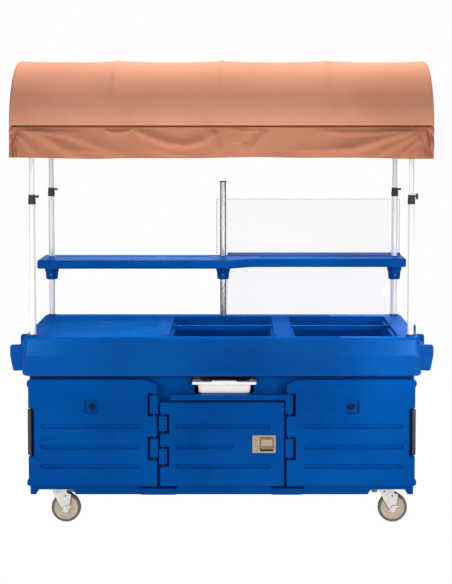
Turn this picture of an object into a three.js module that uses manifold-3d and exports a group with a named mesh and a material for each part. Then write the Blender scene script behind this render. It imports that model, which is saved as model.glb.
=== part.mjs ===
// Mobile vending cart: a moulded cabinet on four swivel casters, a counter body
// with two food wells, an overshelf with two clear guards, and a fabric canopy
// on four telescoping posts.
//
// Millimetres, +Z up. The operator's side with the doors faces -Y. The origin is
// on the floor under the middle of the cart.

import * as THREE from 'three';
import { mergeVertices } from 'three/addons/utils/BufferGeometryUtils.js';
import Module from 'manifold-3d';

const wasm = await Module();
wasm.setup();

// ---------------------------------------------------------------- dimensions
const GAP = 0.4;                       // clearance between touching pieces

// counter body (upper moulding)
const COUNTER = { x: 1018, y: 413, z0: 783.5, crease: 888, top: 980, r: 46 };
const WELL_Y = [-366, 306];
const WELL_MID = [-270, 270];
const WELL_RIGHT = [365, 900];
const WELL_LEDGE = 958;
const WELL_STEP = 907;
const WELL_FLOOR = 802;
const DIVIDER_Y = 35;
const SURFACE = { x0: -915, x1: -338, y0: -374, y1: 330, depth: 7 };
const HANDLE = { x: 1082.5, z0: 798, z1: 931, w: 31, ys: [-330, 0, 330] };

// cabinet (lower moulding)
const CAB = { x: 985, front: -343, back: 385, z0: 192, top: 783.1 };
const SKIRT = { x: 981, front: -373, back: 381, z0: 166.7, z1: 209.5 };
const DOOR = { front: -385, back: -349, z0: 212, z1: 760.5 };
const HINGE_Y = -367;
const PIN_R = 4;
const HOLE_R = 4.6;
const HINGE_X = { left: -345, center: -299.5, right: 345 };
const KNUCKLE = [[360, 455], [586, 679]];        // outer doors, z ranges
const KNUCKLE_C = [[326.8, 403.6], [498.7, 571.4]]; // centre door
const NOTCH = [[345.5, 467.6], [571.5, 691]];
const NOTCH_C = [[312.1, 415.8], [482.4, 581.6]];
const GROOVES_Z = [313.7, 414.8, 520.1];
const LATCH_Z = [372.7, 606.5];
const VENT = { x: 661, z: 621.5 };

// slide-out pan
const PAN = { cx: 12.4, w: 328, body: 275, y0: -384, len: 530, z0: 686, rim0: 735, rim1: 749 };

// posts
const POST = { x: 962, y: 348, r: 16, bore: 14.4, z0: 931, z1: 1673 };
const TUBE = { r: 13.4, bore: 12, z0: 1352, z1: 2044 };
const SOCKET_Z = 929;
const CLAMP = { z0: 1653, z1: 1700.5 };
const KNOB_Z = 1692;
const CENTER_POST = { r: 16.5, z1: 1734 };

// overshelf and guards
const SHELF = { x: 1010, z0: 1270, z1: 1317, back: 410, frontL: 105, frontR: 190 };
const GUARD_UP = { x0: -38, x1: 993, y0: 364.9, y1: 370.9, z0: 1317.4, z1: 1637 };
const GUARD_LOW = { x0: 19, x1: 943.5, y0: 345, y1: 351, z0: 980.4, z1: 1269.4 };

// canopy
const CANOPY = { x: 1072, y: 377, eave: 2050, top: 2392, hem: 1888, t: 3.6 };
const HOOP = { r: 9.5, a: 352, z0: 2052, b: 318, xs: [-1053, -552, 0, 552, 1053] };

// casters
const CASTER = { x: 845, y: 285, offset: 38, R: 76, w: 32, axle: 6.2 };

// ------------------------------------------------------------------ materials
const mat = (color, roughness, metalness = 0, extra = {}) =>
  new THREE.MeshStandardMaterial({ color, roughness, metalness, ...extra });
const M = {
  blue: () => mat(0x0a4fa3, 0.45),
  black: () => mat(0x1d1d1c, 0.6),
  alu: () => mat(0xd4d4d0, 0.28, 0.9),
  chrome: () => mat(0xb9b6b0, 0.18, 1.0),
  steel: () => mat(0xc6b79b, 0.35, 0.9),
  zinc: () => mat(0xcfcac4, 0.4, 0.8),
  white: () => mat(0xf4f0ea, 0.4),
  clear: () => mat(0xeef2f6, 0.05, 0, { transparent: true, opacity: 0.25 }),
  fabric: () => mat(0xdd9276, 0.8),
  wheel: () => mat(0xa99a86, 0.6),
};

// -------------------------------------------------------------------- helpers
function solid(geo) {
  let g = geo.index ? geo.toNonIndexed() : geo.clone();
  for (const n of Object.keys(g.attributes)) if (n !== 'position') g.deleteAttribute(n);
  g = mergeVertices(g, 1e-4);
  return new wasm.Manifold(new wasm.Mesh({
    numProp: 3,
    vertProperties: new Float32Array(g.attributes.position.array),
    triVerts: new Uint32Array(g.index.array),
  }));
}
function geometry(m) {
  const mesh = m.getMesh();
  const g = new THREE.BufferGeometry();
  g.setAttribute('position', new THREE.BufferAttribute(new Float32Array(mesh.vertProperties), 3));
  g.setIndex(new THREE.BufferAttribute(new Uint32Array(mesh.triVerts), 1));
  g.computeVertexNormals();
  return g;
}
const union = (...gs) => geometry(gs.map(solid).reduce((a, b) => a.add(b)));
const cut = (g, ...tools) => geometry(tools.map(solid).reduce((a, b) => a.subtract(b), solid(g)));

const shapeOf = (pts) => new THREE.Shape(pts.map(([x, y]) => new THREE.Vector2(x, y)));
function extrude(pts, depth, bevel = 0, seg = 1) {
  if (!bevel) return new THREE.ExtrudeGeometry(shapeOf(pts), { depth, bevelEnabled: false, steps: 1 });
  const g = new THREE.ExtrudeGeometry(shapeOf(pts), {
    depth: depth - 2 * bevel, bevelEnabled: true, bevelThickness: bevel,
    bevelSize: bevel, bevelOffset: -bevel, bevelSegments: seg, steps: 1,
  });
  g.translate(0, 0, bevel);
  return g;
}
// outline in XY, pulled up from z0 to z1
function prismZ(pts, z0, z1, bevel = 0, seg = 1) {
  return extrude(pts, z1 - z0, bevel, seg).translate(0, 0, z0);
}
// outline in XZ, pulled from y0 to y1
function prismY(pts, y0, y1, bevel = 0, seg = 1) {
  return extrude(pts, y1 - y0, bevel, seg).rotateX(Math.PI / 2).translate(0, y1, 0);
}
// outline in YZ, pulled from x0 to x1
const YZX = new THREE.Matrix4().makeBasis(
  new THREE.Vector3(0, 1, 0), new THREE.Vector3(0, 0, 1), new THREE.Vector3(1, 0, 0));
function prismX(pts, x0, x1, bevel = 0, seg = 1) {
  return extrude(pts, x1 - x0, bevel, seg).applyMatrix4(YZX).translate(x0, 0, 0);
}
function box(x0, x1, y0, y1, z0, z1) {
  return new THREE.BoxGeometry(x1 - x0, y1 - y0, z1 - z0)
    .translate((x0 + x1) / 2, (y0 + y1) / 2, (z0 + z1) / 2);
}
function rrect(x0, x1, y0, y1, r, n = 4) {
  const pts = [];
  const corners = [[x1 - r, y0 + r, -90], [x1 - r, y1 - r, 0], [x0 + r, y1 - r, 90], [x0 + r, y0 + r, 180]];
  for (const [cx, cy, a0] of corners)
    for (let i = 0; i <= n; i++) {
      const a = (a0 + (90 * i) / n) * Math.PI / 180;
      pts.push([cx + r * Math.cos(a), cy + r * Math.sin(a)]);
    }
  return pts;
}
// stack of outlines with the same number of points, each { z, pts }
function loft(rings) {
  const n = rings[0].pts.length, pos = [], idx = [];
  for (const { z, pts } of rings) for (const [x, y] of pts) pos.push(x, y, z);
  for (let k = 0; k + 1 < rings.length; k++)
    for (let i = 0; i < n; i++) {
      const j = (i + 1) % n, a = k * n + i, b = k * n + j, c = b + n, d = a + n;
      idx.push(a, b, c, a, c, d);
    }
  const top = (rings.length - 1) * n;
  for (let i = 1; i + 1 < n; i++) {
    idx.push(0, i + 1, i);
    idx.push(top, top + i, top + i + 1);
  }
  const g = new THREE.BufferGeometry();
  g.setAttribute('position', new THREE.Float32BufferAttribute(pos, 3));
  g.setIndex(idx);
  return g;
}
// upright cylinder or cone from z0 to z1
function rod(x, y, z0, z1, r0, r1 = r0, seg = 16) {
  return new THREE.CylinderGeometry(r1, r0, z1 - z0, seg).rotateX(Math.PI / 2)
    .translate(x, y, (z0 + z1) / 2);
}
// rod along X or along Y
function rodX(x0, x1, y, z, r, seg = 16) {
  return new THREE.CylinderGeometry(r, r, x1 - x0, seg).rotateZ(Math.PI / 2)
    .translate((x0 + x1) / 2, y, z);
}
function rodY(y0, y1, x, z, r, seg = 16) {
  return new THREE.CylinderGeometry(r, r, y1 - y0, seg).translate(x, (y0 + y1) / 2, z);
}
// turned shape about Z: closed profile of [radius, z]
function turned(profile, seg = 20) {
  const pts = profile.map(([r, z]) => new THREE.Vector2(r, z));
  if (profile[0][0] > 0) pts.push(pts[0].clone());
  return new THREE.LatheGeometry(pts, seg).rotateX(Math.PI / 2);
}
function tube(x, y, z0, z1, r, bore, seg = 12) {
  return turned([[bore, z0], [r, z0], [r, z1], [bore, z1]], seg).translate(x, y, 0);
}

const cart = new THREE.Group();
function add(name, geo, material, pos = null, rot = null, parent = cart) {
  const mesh = new THREE.Mesh(geo, material);
  mesh.name = name;
  if (pos) mesh.position.set(...pos);
  if (rot) mesh.rotation.set(...rot);
  parent.add(mesh);
  return mesh;
}
const SIDES = [['left', -1], ['right', 1]];

// --------------------------------------------------------------- counter body
{
  const ring = (z, inset) => ({
    z, pts: rrect(-COUNTER.x + inset, COUNTER.x - inset, -COUNTER.y + inset, COUNTER.y - inset,
      COUNTER.r - inset * 0.5, 3),
  });
  let body = loft([
    ring(COUNTER.z0, 10), ring(COUNTER.z0 + 5, 6), ring(COUNTER.crease, 0),
    ring(968, 11), ring(976, 13.2), ring(COUNTER.top, 18),
  ]);
  // three ribs at each end with a grip bar between them
  const parts = [body];
  for (const [, s] of SIDES) {
    for (const y of HANDLE.ys) {
      const p = [[s * 995, HANDLE.z0 + 6], [s * 1058, HANDLE.z0], [s * 1066, HANDLE.z0 + 5],
        [s * HANDLE.x, 884], [s * HANDLE.x, 921], [s * (HANDLE.x - 3), 928], [s * (HANDLE.x - 10), HANDLE.z1],
        [s * 995, HANDLE.z1 + 2]];
      parts.push(prismY(s > 0 ? p : p.slice().reverse(), y - HANDLE.w / 2, y + HANDLE.w / 2));
    }
    parts.push(prismY(rrect(s > 0 ? 1040 : -1070, s > 0 ? 1070 : -1040, 862, 902, 10, 2), HANDLE.ys[0], HANDLE.ys[2]));
  }
  body = union(...parts);
  const tools = [];
  for (const [x0, x1] of [WELL_MID, WELL_RIGHT]) {
    const well = (i, z0, z1) => prismZ(rrect(x0 + i, x1 - i, WELL_Y[0] + i, WELL_Y[1] - i, 18, 2), z0, z1);
    tools.push(well(0, WELL_LEDGE, 985), well(14, WELL_STEP, 960), well(19, WELL_FLOOR, 910));
    for (const y of [DIVIDER_Y, -337])
      tools.push(box(x0 - 14, x1 + 14, y - 9, y + 9, 948, 985));
  }
  // slightly dished work surface
  const dish = (i, z) => ({ z, pts: rrect(SURFACE.x0 + i, SURFACE.x1 - i, SURFACE.y0 + i, SURFACE.y1 - i, 26 - i / 2, 2) });
  tools.push(loft([dish(16, COUNTER.top - SURFACE.depth), dish(0, COUNTER.top + 0.5), dish(-4, COUNTER.top + 4)]));
  // post sockets
  for (const [, s] of SIDES) for (const t of [-1, 1]) tools.push(rod(s * POST.x, t * POST.y, SOCKET_Z, 990, POST.r + 0.9, POST.r + 0.9, 12));
  tools.push(rod(0, POST.y, SOCKET_Z, 990, CENTER_POST.r + 0.9, CENTER_POST.r + 0.9, 12));
  add('counter_body', cut(body, ...tools), M.blue());
}
// lift-out divider bars across the wells
for (const [name, [x0, x1]] of [['middle', WELL_MID], ['right', WELL_RIGHT]]) {
  const w = 7, y = DIVIDER_Y;
  add(`well_divider_${name}`, prismX([[y - w + 2, 949], [y + w - 2, 949], [y + w, 952], [y + w, 971], [y + w - 2, 973],
    [y - w + 2, 973], [y - w, 971], [y - w, 952]], x0 - 13.2, x1 + 13.2), M.blue());
}

// ------------------------------------------------------------------- cabinet
{
  const rear = 26, front = 7;
  const outline = [[-CAB.x + front, CAB.front], [CAB.x - front, CAB.front], [CAB.x, CAB.front + front]];
  for (let i = 0; i <= 4; i++) {
    const a = (90 * i / 4) * Math.PI / 180;
    outline.push([CAB.x - rear + rear * Math.cos(a), CAB.back - rear + rear * Math.sin(a)]);
  }
  for (let i = 0; i <= 4; i++) {
    const a = (90 + 90 * i / 4) * Math.PI / 180;
    outline.push([-CAB.x + rear + rear * Math.cos(a), CAB.back - rear + rear * Math.sin(a)]);
  }
  outline.push([-CAB.x, CAB.front + front]);
  const parts = [
    prismZ(outline, CAB.z0, CAB.top),
    prismZ(rrect(-SKIRT.x, SKIRT.x, SKIRT.front, SKIRT.back, 14, 3), SKIRT.z0, SKIRT.z1),
  ];
  // step plates under the hinge gaps
  for (const [x0, x1] of [[-417, -230], [255, 416.6]])
    parts.push(prismZ([[x0, -372], [x0 + 6, DOOR.front], [x1 - 6, DOOR.front], [x1, -372]], SKIRT.z0 + 1, 201));
  // ledge over the centre door, and the hinge knuckles
  const bar = (x0, x1, z0, z1) => prismY([[x0, z0], [x1, z0], [x1, z1], [x0, z1]], DOOR.front, CAB.front + 2);
  parts.push(bar(-261.6, 362.7, 656.3, 681.2));
  parts.push(bar(325.6, 362.7, KNUCKLE[1][0], 681.2));
  parts.push(bar(325.6, 362.7, ...KNUCKLE[0]));
  for (const z of KNUCKLE) parts.push(bar(-365.3, -325.1, ...z));
  for (const z of KNUCKLE_C) parts.push(bar(-319.6, -279.4, ...z));
  const body = union(...parts);
  const bay = (x0, x1, z0, z1) => prismY(rrect(x0, x1, z0, z1, 20, 2), CAB.front - 20, 352);
  const tools = [
    bay(-952, -382, 232, 752), bay(-262, 292, 232, 628), bay(382, 952, 232, 752),
    // hollow base
    box(-948, 948, -342, 350, 160, CAB.z0),
    // shallow frame round the pan slot, the slot, and the bay behind it
    prismY([[-172, 674], [192, 674], [192, 800], [-172, 800]], CAB.front - 5, CAB.front + 5),
    prismY([[-142, 679], [165, 679], [165, 733], [182, 733], [182, 752], [160, 770], [-136, 770], [-158, 752], [-158, 733], [-142, 733]],
      CAB.front - 5, -300),
    box(-164, 188.8, -318, 200, 668, 771),
  ];
  // caster openings through the skirt, front and back
  for (const [, s] of SIDES) {
    const p = [[s * 950, 160], [s * 950, SKIRT.z0], [s * 935, CAB.z0], [s * 762, CAB.z0], [s * 747, SKIRT.z0], [s * 747, 160]];
    tools.push(prismY(s > 0 ? p : p.slice().reverse(), -400, 400));
  }
  // hinge pin holes
  for (const x of [HINGE_X.left, HINGE_X.right]) tools.push(rod(x, HINGE_Y, 355, 682, HOLE_R, HOLE_R, 12));
  tools.push(rod(HINGE_X.center, HINGE_Y, 320, 575, HOLE_R, HOLE_R, 12));
  add('cabinet_body', cut(body, ...tools), M.blue());
}
for (const [name, x, z0, z1] of [['left', HINGE_X.left, 331, 706], ['right', HINGE_X.right, 331, 706], ['center', HINGE_X.center, 298, 596]])
  add(`${name}_hinge_pin`, rod(x, HINGE_Y, z0, z1, PIN_R, PIN_R, 12), M.chrome());

// ---------------------------------------------------------------------- doors
function grooves(x0, x1, zs, h) {
  return zs.map((z) => prismY(rrect(x0, x1, z - h / 2, z + h / 2, h / 2 - 1, 1), DOOR.front - 5, DOOR.front + 4));
}
for (const [name, s] of SIDES) {
  let p = [[-985, DOOR.z0], [-331, DOOR.z0], [-331, NOTCH[0][0]], [-377.5, NOTCH[0][0]], [-377.5, NOTCH[0][1]],
    [-331, NOTCH[0][1]], [-331, NOTCH[1][0]], [-377.5, NOTCH[1][0]], [-377.5, NOTCH[1][1]], [-331, NOTCH[1][1]],
    [-331, 735.5], [-386, DOOR.z1], [-985, DOOR.z1]];
  if (s > 0) p = p.map(([x, z]) => [-x, z]).reverse();
  const m = (x0, x1) => (s < 0 ? [x0, x1] : [-x1, -x0]);
  // with a small lug at the lower outer corner
  let lug = [[-975, 214], [-988, 214], [-992.5, 222], [-992.5, 240], [-987, 249], [-975, 249]].reverse();
  if (s > 0) lug = lug.map(([x, z]) => [-x, z]).reverse();
  const door = union(prismY(p, DOOR.front, DOOR.back, 3), prismY(lug, DOOR.front + 2, DOOR.back - 2));
  const [gx0, gx1] = m(-925, -416);
  const [lx0, lx1] = m(-990, -955.5);
  const tools = [
    ...grooves(gx0, gx1, GROOVES_Z, 18),
    // pocket for the side latch, with its pivot holes
    box(lx0, lx1, -390, -340, LATCH_Z[0] - 8, LATCH_Z[1] + 8),
    rod(s * 974, -358, LATCH_Z[0] - 16, LATCH_Z[1] + 16, 3.7, 3.7, 12),
    // vent recess and bore
    prismY(rrect(s * VENT.x - 40, s * VENT.x + 40, VENT.z - 37, VENT.z + 37, 7, 2), DOOR.front - 5, DOOR.front + 5),
    rodY(DOOR.front - 5, DOOR.front + 22, s * VENT.x, VENT.z, 8.7, 12),
    rod(HINGE_X[name], HINGE_Y, 325, 712, HOLE_R, HOLE_R, 12),
  ];
  add(`${name}_door`, cut(door, ...tools), M.blue());

  const latch = union(
    prismZ(rrect(s * 979.6 - 10, s * 979.6 + 10, -384, -352, 6, 1), LATCH_Z[0], LATCH_Z[1]),
    rod(s * 974, -358, LATCH_Z[0] - 7.2, LATCH_Z[1] + 7.2, 3, 3, 12));
  add(`${name}_side_latch`, latch, M.black());

  const cap = turned([[0, 0], [14, 0], [15.4, 1.6], [15.4, 6.5], [8, 6.5], [8, 20], [0, 20]], 14);
  // recessed screwdriver slot across the face
  const slot = cut(cap, box(-10, 10, -1.6, 1.6, -2, 2.2));
  slot.rotateX(-Math.PI / 2);
  add(`${name}_vent_cap`, slot, M.black(), [s * VENT.x, DOOR.front - 2, VENT.z]);
}
{
  const p = [[-314, DOOR.z0], [317, DOOR.z0], [317, 644], [-314, 644], [-314, NOTCH_C[1][1]], [-267.7, NOTCH_C[1][1]],
    [-267.7, NOTCH_C[1][0]], [-314, NOTCH_C[1][0]], [-314, NOTCH_C[0][1]], [-267.7, NOTCH_C[0][1]],
    [-267.7, NOTCH_C[0][0]], [-314, NOTCH_C[0][0]]];
  const door = prismY(p, DOOR.front, DOOR.back, 3);
  add('center_door', cut(door,
    ...grooves(-237, 251, [GROOVES_Z[0], GROOVES_Z[2]], 16), ...grooves(-237, 60, [GROOVES_Z[1]], 16),
    // opening for the latch body and its bolt
    box(164, 267, DOOR.front - 5, DOOR.back + 5, 393.5, 469.5),
    rod(HINGE_X.center, HINGE_Y, 290, 604, HOLE_R, HOLE_R, 12)), M.blue());
}

// ---------------------------------------------------------- paddle latch
{
  // flanged dish in the door, open at the front
  const x0 = 155.3, x1 = 275.8, z0 = 384.8, z1 = 477.8;
  const flange = prismY(rrect(x0, x1, z0, z1, 6, 2), DOOR.front - 5, DOOR.front - GAP, 1.5);
  const dish = prismY(rrect(165, 266, 394.5, 468.5, 4, 2), DOOR.front - 2, DOOR.front + 26);
  const body = union(flange, dish);
  add('paddle_latch_case', cut(body,
    prismY(rrect(196, 262, 396.2, 465, 4, 2), DOOR.front - 10, DOOR.front + 22),
    rodX(192.5, 264.5, DOOR.front + 8, 457, 2.6, 10),
    rodY(DOOR.front - 10, DOOR.front + 20, 180.7, 439.7, 7.6, 16)), M.steel());
  // the paddle hangs from a pivot along its top edge
  const paddle = prismX([[DOOR.front + 5, 460], [DOOR.front + 5, 402.5], [DOOR.front + 0.5, 402.5], [DOOR.front - 1.5, 406],
    [DOOR.front + 1.5, 420], [DOOR.front + 1.5, 452], [DOOR.front + 4, 460.8]].reverse(), 200.5, 258.5);
  add('paddle_latch_handle', union(paddle, rodX(193.3, 263.7, DOOR.front + 8, 457, 2.1, 10),
    box(202, 257, DOOR.front + 3, DOOR.front + 9, 454.8, 459.2)), M.steel());
  const plug = cut(turned([[0, 0], [7.9, 0], [9.2, 1.2], [9.2, 4.1], [7, 4.1], [7, 22], [0, 22]], 16), box(-0.9, 0.9, -3.6, 3.6, -1, 3));
  plug.rotateX(-Math.PI / 2);
  add('lock_cylinder', plug, M.chrome(), [180.7, DOOR.front - 9.5, 439.7]);
}

// -------------------------------------------------------------- slide-out pan
{
  const { cx, w, body: bw, y0, len, z0, rim0, rim1 } = PAN;
  const y1 = y0 + len, by0 = y0 + (w - bw) / 2, by1 = y1 - (w - bw) / 2;
  const lay = (i, z, r) => ({ z, pts: rrect(cx - bw / 2 + i, cx + bw / 2 - i, by0 + i, by1 - i, r, 2) });
  const outer = loft([lay(18, z0, 14), lay(9, z0 + 3, 18), lay(5, z0 + 9, 20), lay(0, rim1 - 4, 24)]);
  const rim = prismZ(rrect(cx - w / 2, cx + w / 2, y0, y1, 12, 3), rim0, rim1, 2);
  const grip = prismY([[-58, rim1 - 5], [80, rim1 - 5], [74, 754.5], [-50, 754.5]], y0, y0 + 24);
  const inner = loft([lay(20, z0 + 3, 14), lay(12, z0 + 6, 18), lay(8, z0 + 12, 20), lay(3, rim1 + 5, 24)]);
  // the rim is a turned-down edge, hollow underneath
  const under = cut(prismZ(rrect(cx - w / 2 + 3, cx + w / 2 - 3, y0 + 3, y1 - 3, 10, 3), rim0 - 5, rim1 - 3),
    loft([lay(0, rim0 - 8, 24), lay(0, rim1 + 2, 24)]));
  const shell = cut(union(outer, rim, grip), under, inner);
  add('slide_out_pan', shell, M.white());
  for (const [name, s] of SIDES) {
    const wall = cx + s * 176, inn = cx + s * 143.5;
    const a = s < 0 ? wall + GAP : wall - GAP;
    const lo = Math.min(a, inn), hi = Math.max(a, inn);
    const rail = union(box(lo, hi, -317, 190, 729.5, 733.5),
      box(s < 0 ? lo : hi - 3.4, s < 0 ? lo + 3.4 : hi, -317, 190, 729.5, 764));
    add(`pan_runner_${name}`, rail, M.zinc());
  }
}

// ---------------------------------------------------------------------- posts
const CORNERS = [['front_left', -1, -1], ['front_right', 1, -1], ['rear_left', -1, 1], ['rear_right', 1, 1]];
for (const [name, sx, sy] of CORNERS) {
  const x = sx * POST.x, y = sy * POST.y;
  add(`post_${name}`, tube(0, 0, POST.z0, POST.z1, POST.r, POST.bore), M.alu(), [x, y, 0]);
  add(`canopy_tube_${name}`, tube(0, 0, TUBE.z0, TUBE.z1, TUBE.r, TUBE.bore), M.alu(), [x, y, 0]);
  add(`post_collar_${name}`, turned([[POST.r + 0.5, 980.4], [24.5, 980.4], [24.5, 985.5], [21, 989.5], [POST.r + 0.5, 989.5]], 12),
    M.black(), [x, y, 0]);
  const c = CLAMP;
  const clamp = cut(
    turned([[0, c.z0], [19.2, c.z0], [19.2, c.z0 + 26], [17.6, c.z0 + 30.5], [17.6, c.z1], [0, c.z1]], 12),
    rod(0, 0, c.z0 - 2, POST.z1 + 1, POST.r + 1, POST.r + 1, 12), rod(0, 0, c.z0 - 2, c.z1 + 2, TUBE.r + 0.9, TUBE.r + 0.9, 12),
    rodX(5, 30, 0, KNOB_Z, 4.2, 8));
  add(`post_clamp_${name}`, clamp, M.black(), [x, y, 0]);
  // wing knob on a stud; the front right one stands upright, the others lie flat
  const wing = union(rodX(15, 24, 0, 0, 3.6, 8),
    prismX([[-14.5, -3], [-11.5, -5.2], [0, -5.8], [11.5, -5.2], [14.5, -3], [14.5, 3], [11.5, 5.2],
      [0, 5.8], [-11.5, 5.2], [-14.5, 3]], 21.5, 34));
  if (name === 'front_right') wing.rotateX(Math.PI / 2);
  add(`clamp_knob_${name}`, wing, M.black(), [x, y, KNOB_Z]);
}
add('center_post', union(tube(0, 0, POST.z0, CENTER_POST.z1, CENTER_POST.r, 14, 16),
  turned([[0, CENTER_POST.z1 - 8], [14.6, CENTER_POST.z1 - 8], [14.6, CENTER_POST.z1 - 0.5], [18.8, CENTER_POST.z1 - 0.5],
    [18.8, 1737], [17.6, 1738.4], [0, 1738.4]], 16)), M.chrome(), [0, POST.y, 0]);

// ------------------------------------------------------------------ overshelf
{
  // the front edge swings back past the middle, to leave room over the wells
  const pts = [];
  const edge = (x) => {
    const t = Math.min(1, Math.max(0, (x - 10) / 175));
    return SHELF.frontL + (SHELF.frontR - SHELF.frontL) * (t * t * (3 - 2 * t));
  };
  const r = 14;
  const arc = (cx, cy, a0) => {
    for (let i = 0; i <= 3; i++) {
      const a = (a0 + 30 * i) * Math.PI / 180;
      pts.push([cx + r * Math.cos(a), cy + r * Math.sin(a)]);
    }
  };
  arc(-SHELF.x + r, SHELF.frontL + r, 180);
  for (let i = 0; i <= 10; i++) { const x = 10 + 17.5 * i; pts.push([x, edge(x)]); }
  arc(SHELF.x - r, SHELF.frontR + r, 270);
  arc(SHELF.x - r, SHELF.back - r, 0);
  arc(-SHELF.x + r, SHELF.back - r, 90);
  const parts = [prismZ(pts, SHELF.z0, SHELF.z1, 4, 1)];
  // raised rear lip beside the guard
  parts.push(prismX([[374, 1315], [404, 1315], [404, 1328], [401, 1331], [377, 1331], [374, 1328]], 24, 1000));
  for (const x of [-POST.x, 0, POST.x])
    parts.push(rod(x, POST.y, 1187, 1273, 32.5, 41, 12));
  const tools = [];
  for (const x of [-POST.x, POST.x]) tools.push(rod(x, POST.y, 1180, 1340, POST.r + 0.9, POST.r + 0.9, 12));
  tools.push(rod(0, POST.y, 1180, 1340, CENTER_POST.r + 0.9, CENTER_POST.r + 0.9, 12));
  tools.push(box(GUARD_LOW.x0 - 3, GUARD_LOW.x1 + 3, GUARD_LOW.y0 - 0.6, GUARD_LOW.y1 + 0.6, 1170, GUARD_LOW.z1 + 0.5));
  add('overshelf', cut(union(...parts), ...tools), M.blue());
}
{
  const g = GUARD_UP;
  add('upper_guard_panel', prismY(rrect(g.x0, g.x1, g.z0, g.z1, 10, 3), g.y0, g.y1), M.clear());
  const l = GUARD_LOW;
  // its lower corner is notched round the collar of the end post
  add('lower_guard_panel', prismY([[l.x0, l.z0], [POST.x - 25.2, l.z0], [POST.x - 25.2, 990.5], [l.x1, 990.5],
    [l.x1, l.z1], [l.x0, l.z1]], l.y0, l.y1), M.clear());
}

// --------------------------------------------------------------------- canopy
{
  const parts = [];
  const circle = (r, n) => Array.from({ length: n }, (_, i) => [r * Math.cos(2 * Math.PI * i / n), r * Math.sin(2 * Math.PI * i / n)]);
  for (const x of HOOP.xs) {
    const pts = [];
    for (let i = 0; i <= 12; i++) {
      const a = Math.PI * i / 12;
      pts.push(new THREE.Vector3(x, -HOOP.a * Math.cos(a), HOOP.z0 + HOOP.b * Math.sin(a)));
    }
    parts.push(new THREE.ExtrudeGeometry(shapeOf(circle(HOOP.r, 6)), {
      steps: 12, bevelEnabled: false, extrudePath: new THREE.CatmullRomCurve3(pts),
    }));
  }
  for (const y of [-HOOP.a, HOOP.a]) parts.push(rodX(-1062, 1062, y, HOOP.z0, HOOP.r + 0.5, 8));
  for (const [, sx, sy] of CORNERS) parts.push(rod(sx * POST.x, sy * POST.y, 2006, 2058, 17.6, 17.6, 12));
  const tools = CORNERS.map(([, sx, sy]) => rod(sx * POST.x, sy * POST.y, 2000, 2045, TUBE.r + 0.8, TUBE.r + 0.8, 12));
  add('canopy_frame', cut(union(...parts), ...tools), M.alu());
}
{
  const profile = (o) => {
    const a = CANOPY.y - o, top = CANOPY.top - o, pts = [[a + 3, CANOPY.hem - (o ? 20 : 0)]];
    for (let i = 0; i <= 20; i++) {
      const t = Math.PI * i / 20;
      pts.push([a * Math.cos(t), CANOPY.eave + (top - CANOPY.eave) * Math.sin(t)]);
    }
    pts.push([-a - 3, CANOPY.hem - (o ? 20 : 0)]);
    return pts;
  };
  add('canopy_cover', cut(prismX(profile(0), -CANOPY.x, CANOPY.x),
    prismX(profile(CANOPY.t), -CANOPY.x + CANOPY.t, CANOPY.x - CANOPY.t)), M.fabric());
}

// -------------------------------------------------------------------- casters
for (const [name, sx, sy] of CORNERS) {
  // a fork trailing along +X in its own frame; the rear pair is turned to trail forward
  const g = new THREE.Group();
  g.position.set(sx * CASTER.x, sy * CASTER.y, 0);
  cart.add(g);
  const fixed = union(box(-52, 52, -42, 42, 187.2, 191.6), tube(0, 0, 181, 188, 31, 25.2, 16));
  add(`caster_plate_${name}`, fixed, M.zinc(), null, null, g);
  const swivel = new THREE.Group();
  if (sy > 0) swivel.rotation.z = -Math.PI / 2;
  g.add(swivel);
  const leg = (y) => prismY([[-30, 178], [-30, 160], [-8, 119], [20, 74], [27, 56], [38, 50], [49, 56], [54, 72], [60, 112], [66, 148], [44, 153], [44, 178]], y, y + 3.2);
  const ax = CASTER.offset;
  const fork = union(leg(-23.4), leg(20.2), box(-30, 44, -23.4, 23.4, 170, 178),
    rod(0, 0, 176, 186.4, 24.2, 24.2, 16),
    rodY(-33, 27, ax, CASTER.R, CASTER.axle, 10), rodY(23, 28.5, ax, CASTER.R, 10, 6));
  add(`caster_fork_${name}`, fork, M.zinc(), null, null, swivel);
  const w = CASTER.w / 2, R = CASTER.R;
  const wheel = turned([[CASTER.axle + 0.6, -18.5], [15, -18.5], [19, -w], [70, -w], [R, -w + 9],
    [R, w - 9], [70, w], [19, w], [15, 18.5], [CASTER.axle + 0.6, 18.5]], 24);
  wheel.rotateX(Math.PI / 2);
  add(`caster_wheel_${name}`, wheel, M.wheel(), [ax, 0, R], null, swivel);
  if (sy < 0) {
    // brake lever with two wings, pivoting on the axle in front of the fork
    const lever = cut(prismY([[-24, -16], [-20, -19], [-10, -12], [-2, -12], [4, -13], [12, -9], [14, 2], [28, 7], [31, 12], [27, 15],
      [14, 12], [8, 14], [-4, 13], [-11, 4], [-13, -5]], -29.5, -24), rodY(-40, -20, 0, 0, CASTER.axle + 0.7, 10));
    add(`brake_lever_${name}`, lever, M.zinc(), [ax, 0, R], null, swivel);
  }
}

export default cart;
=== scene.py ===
import bpy
import bmesh
import math
import random
import numpy as np
from mathutils import Matrix, Vector


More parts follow.
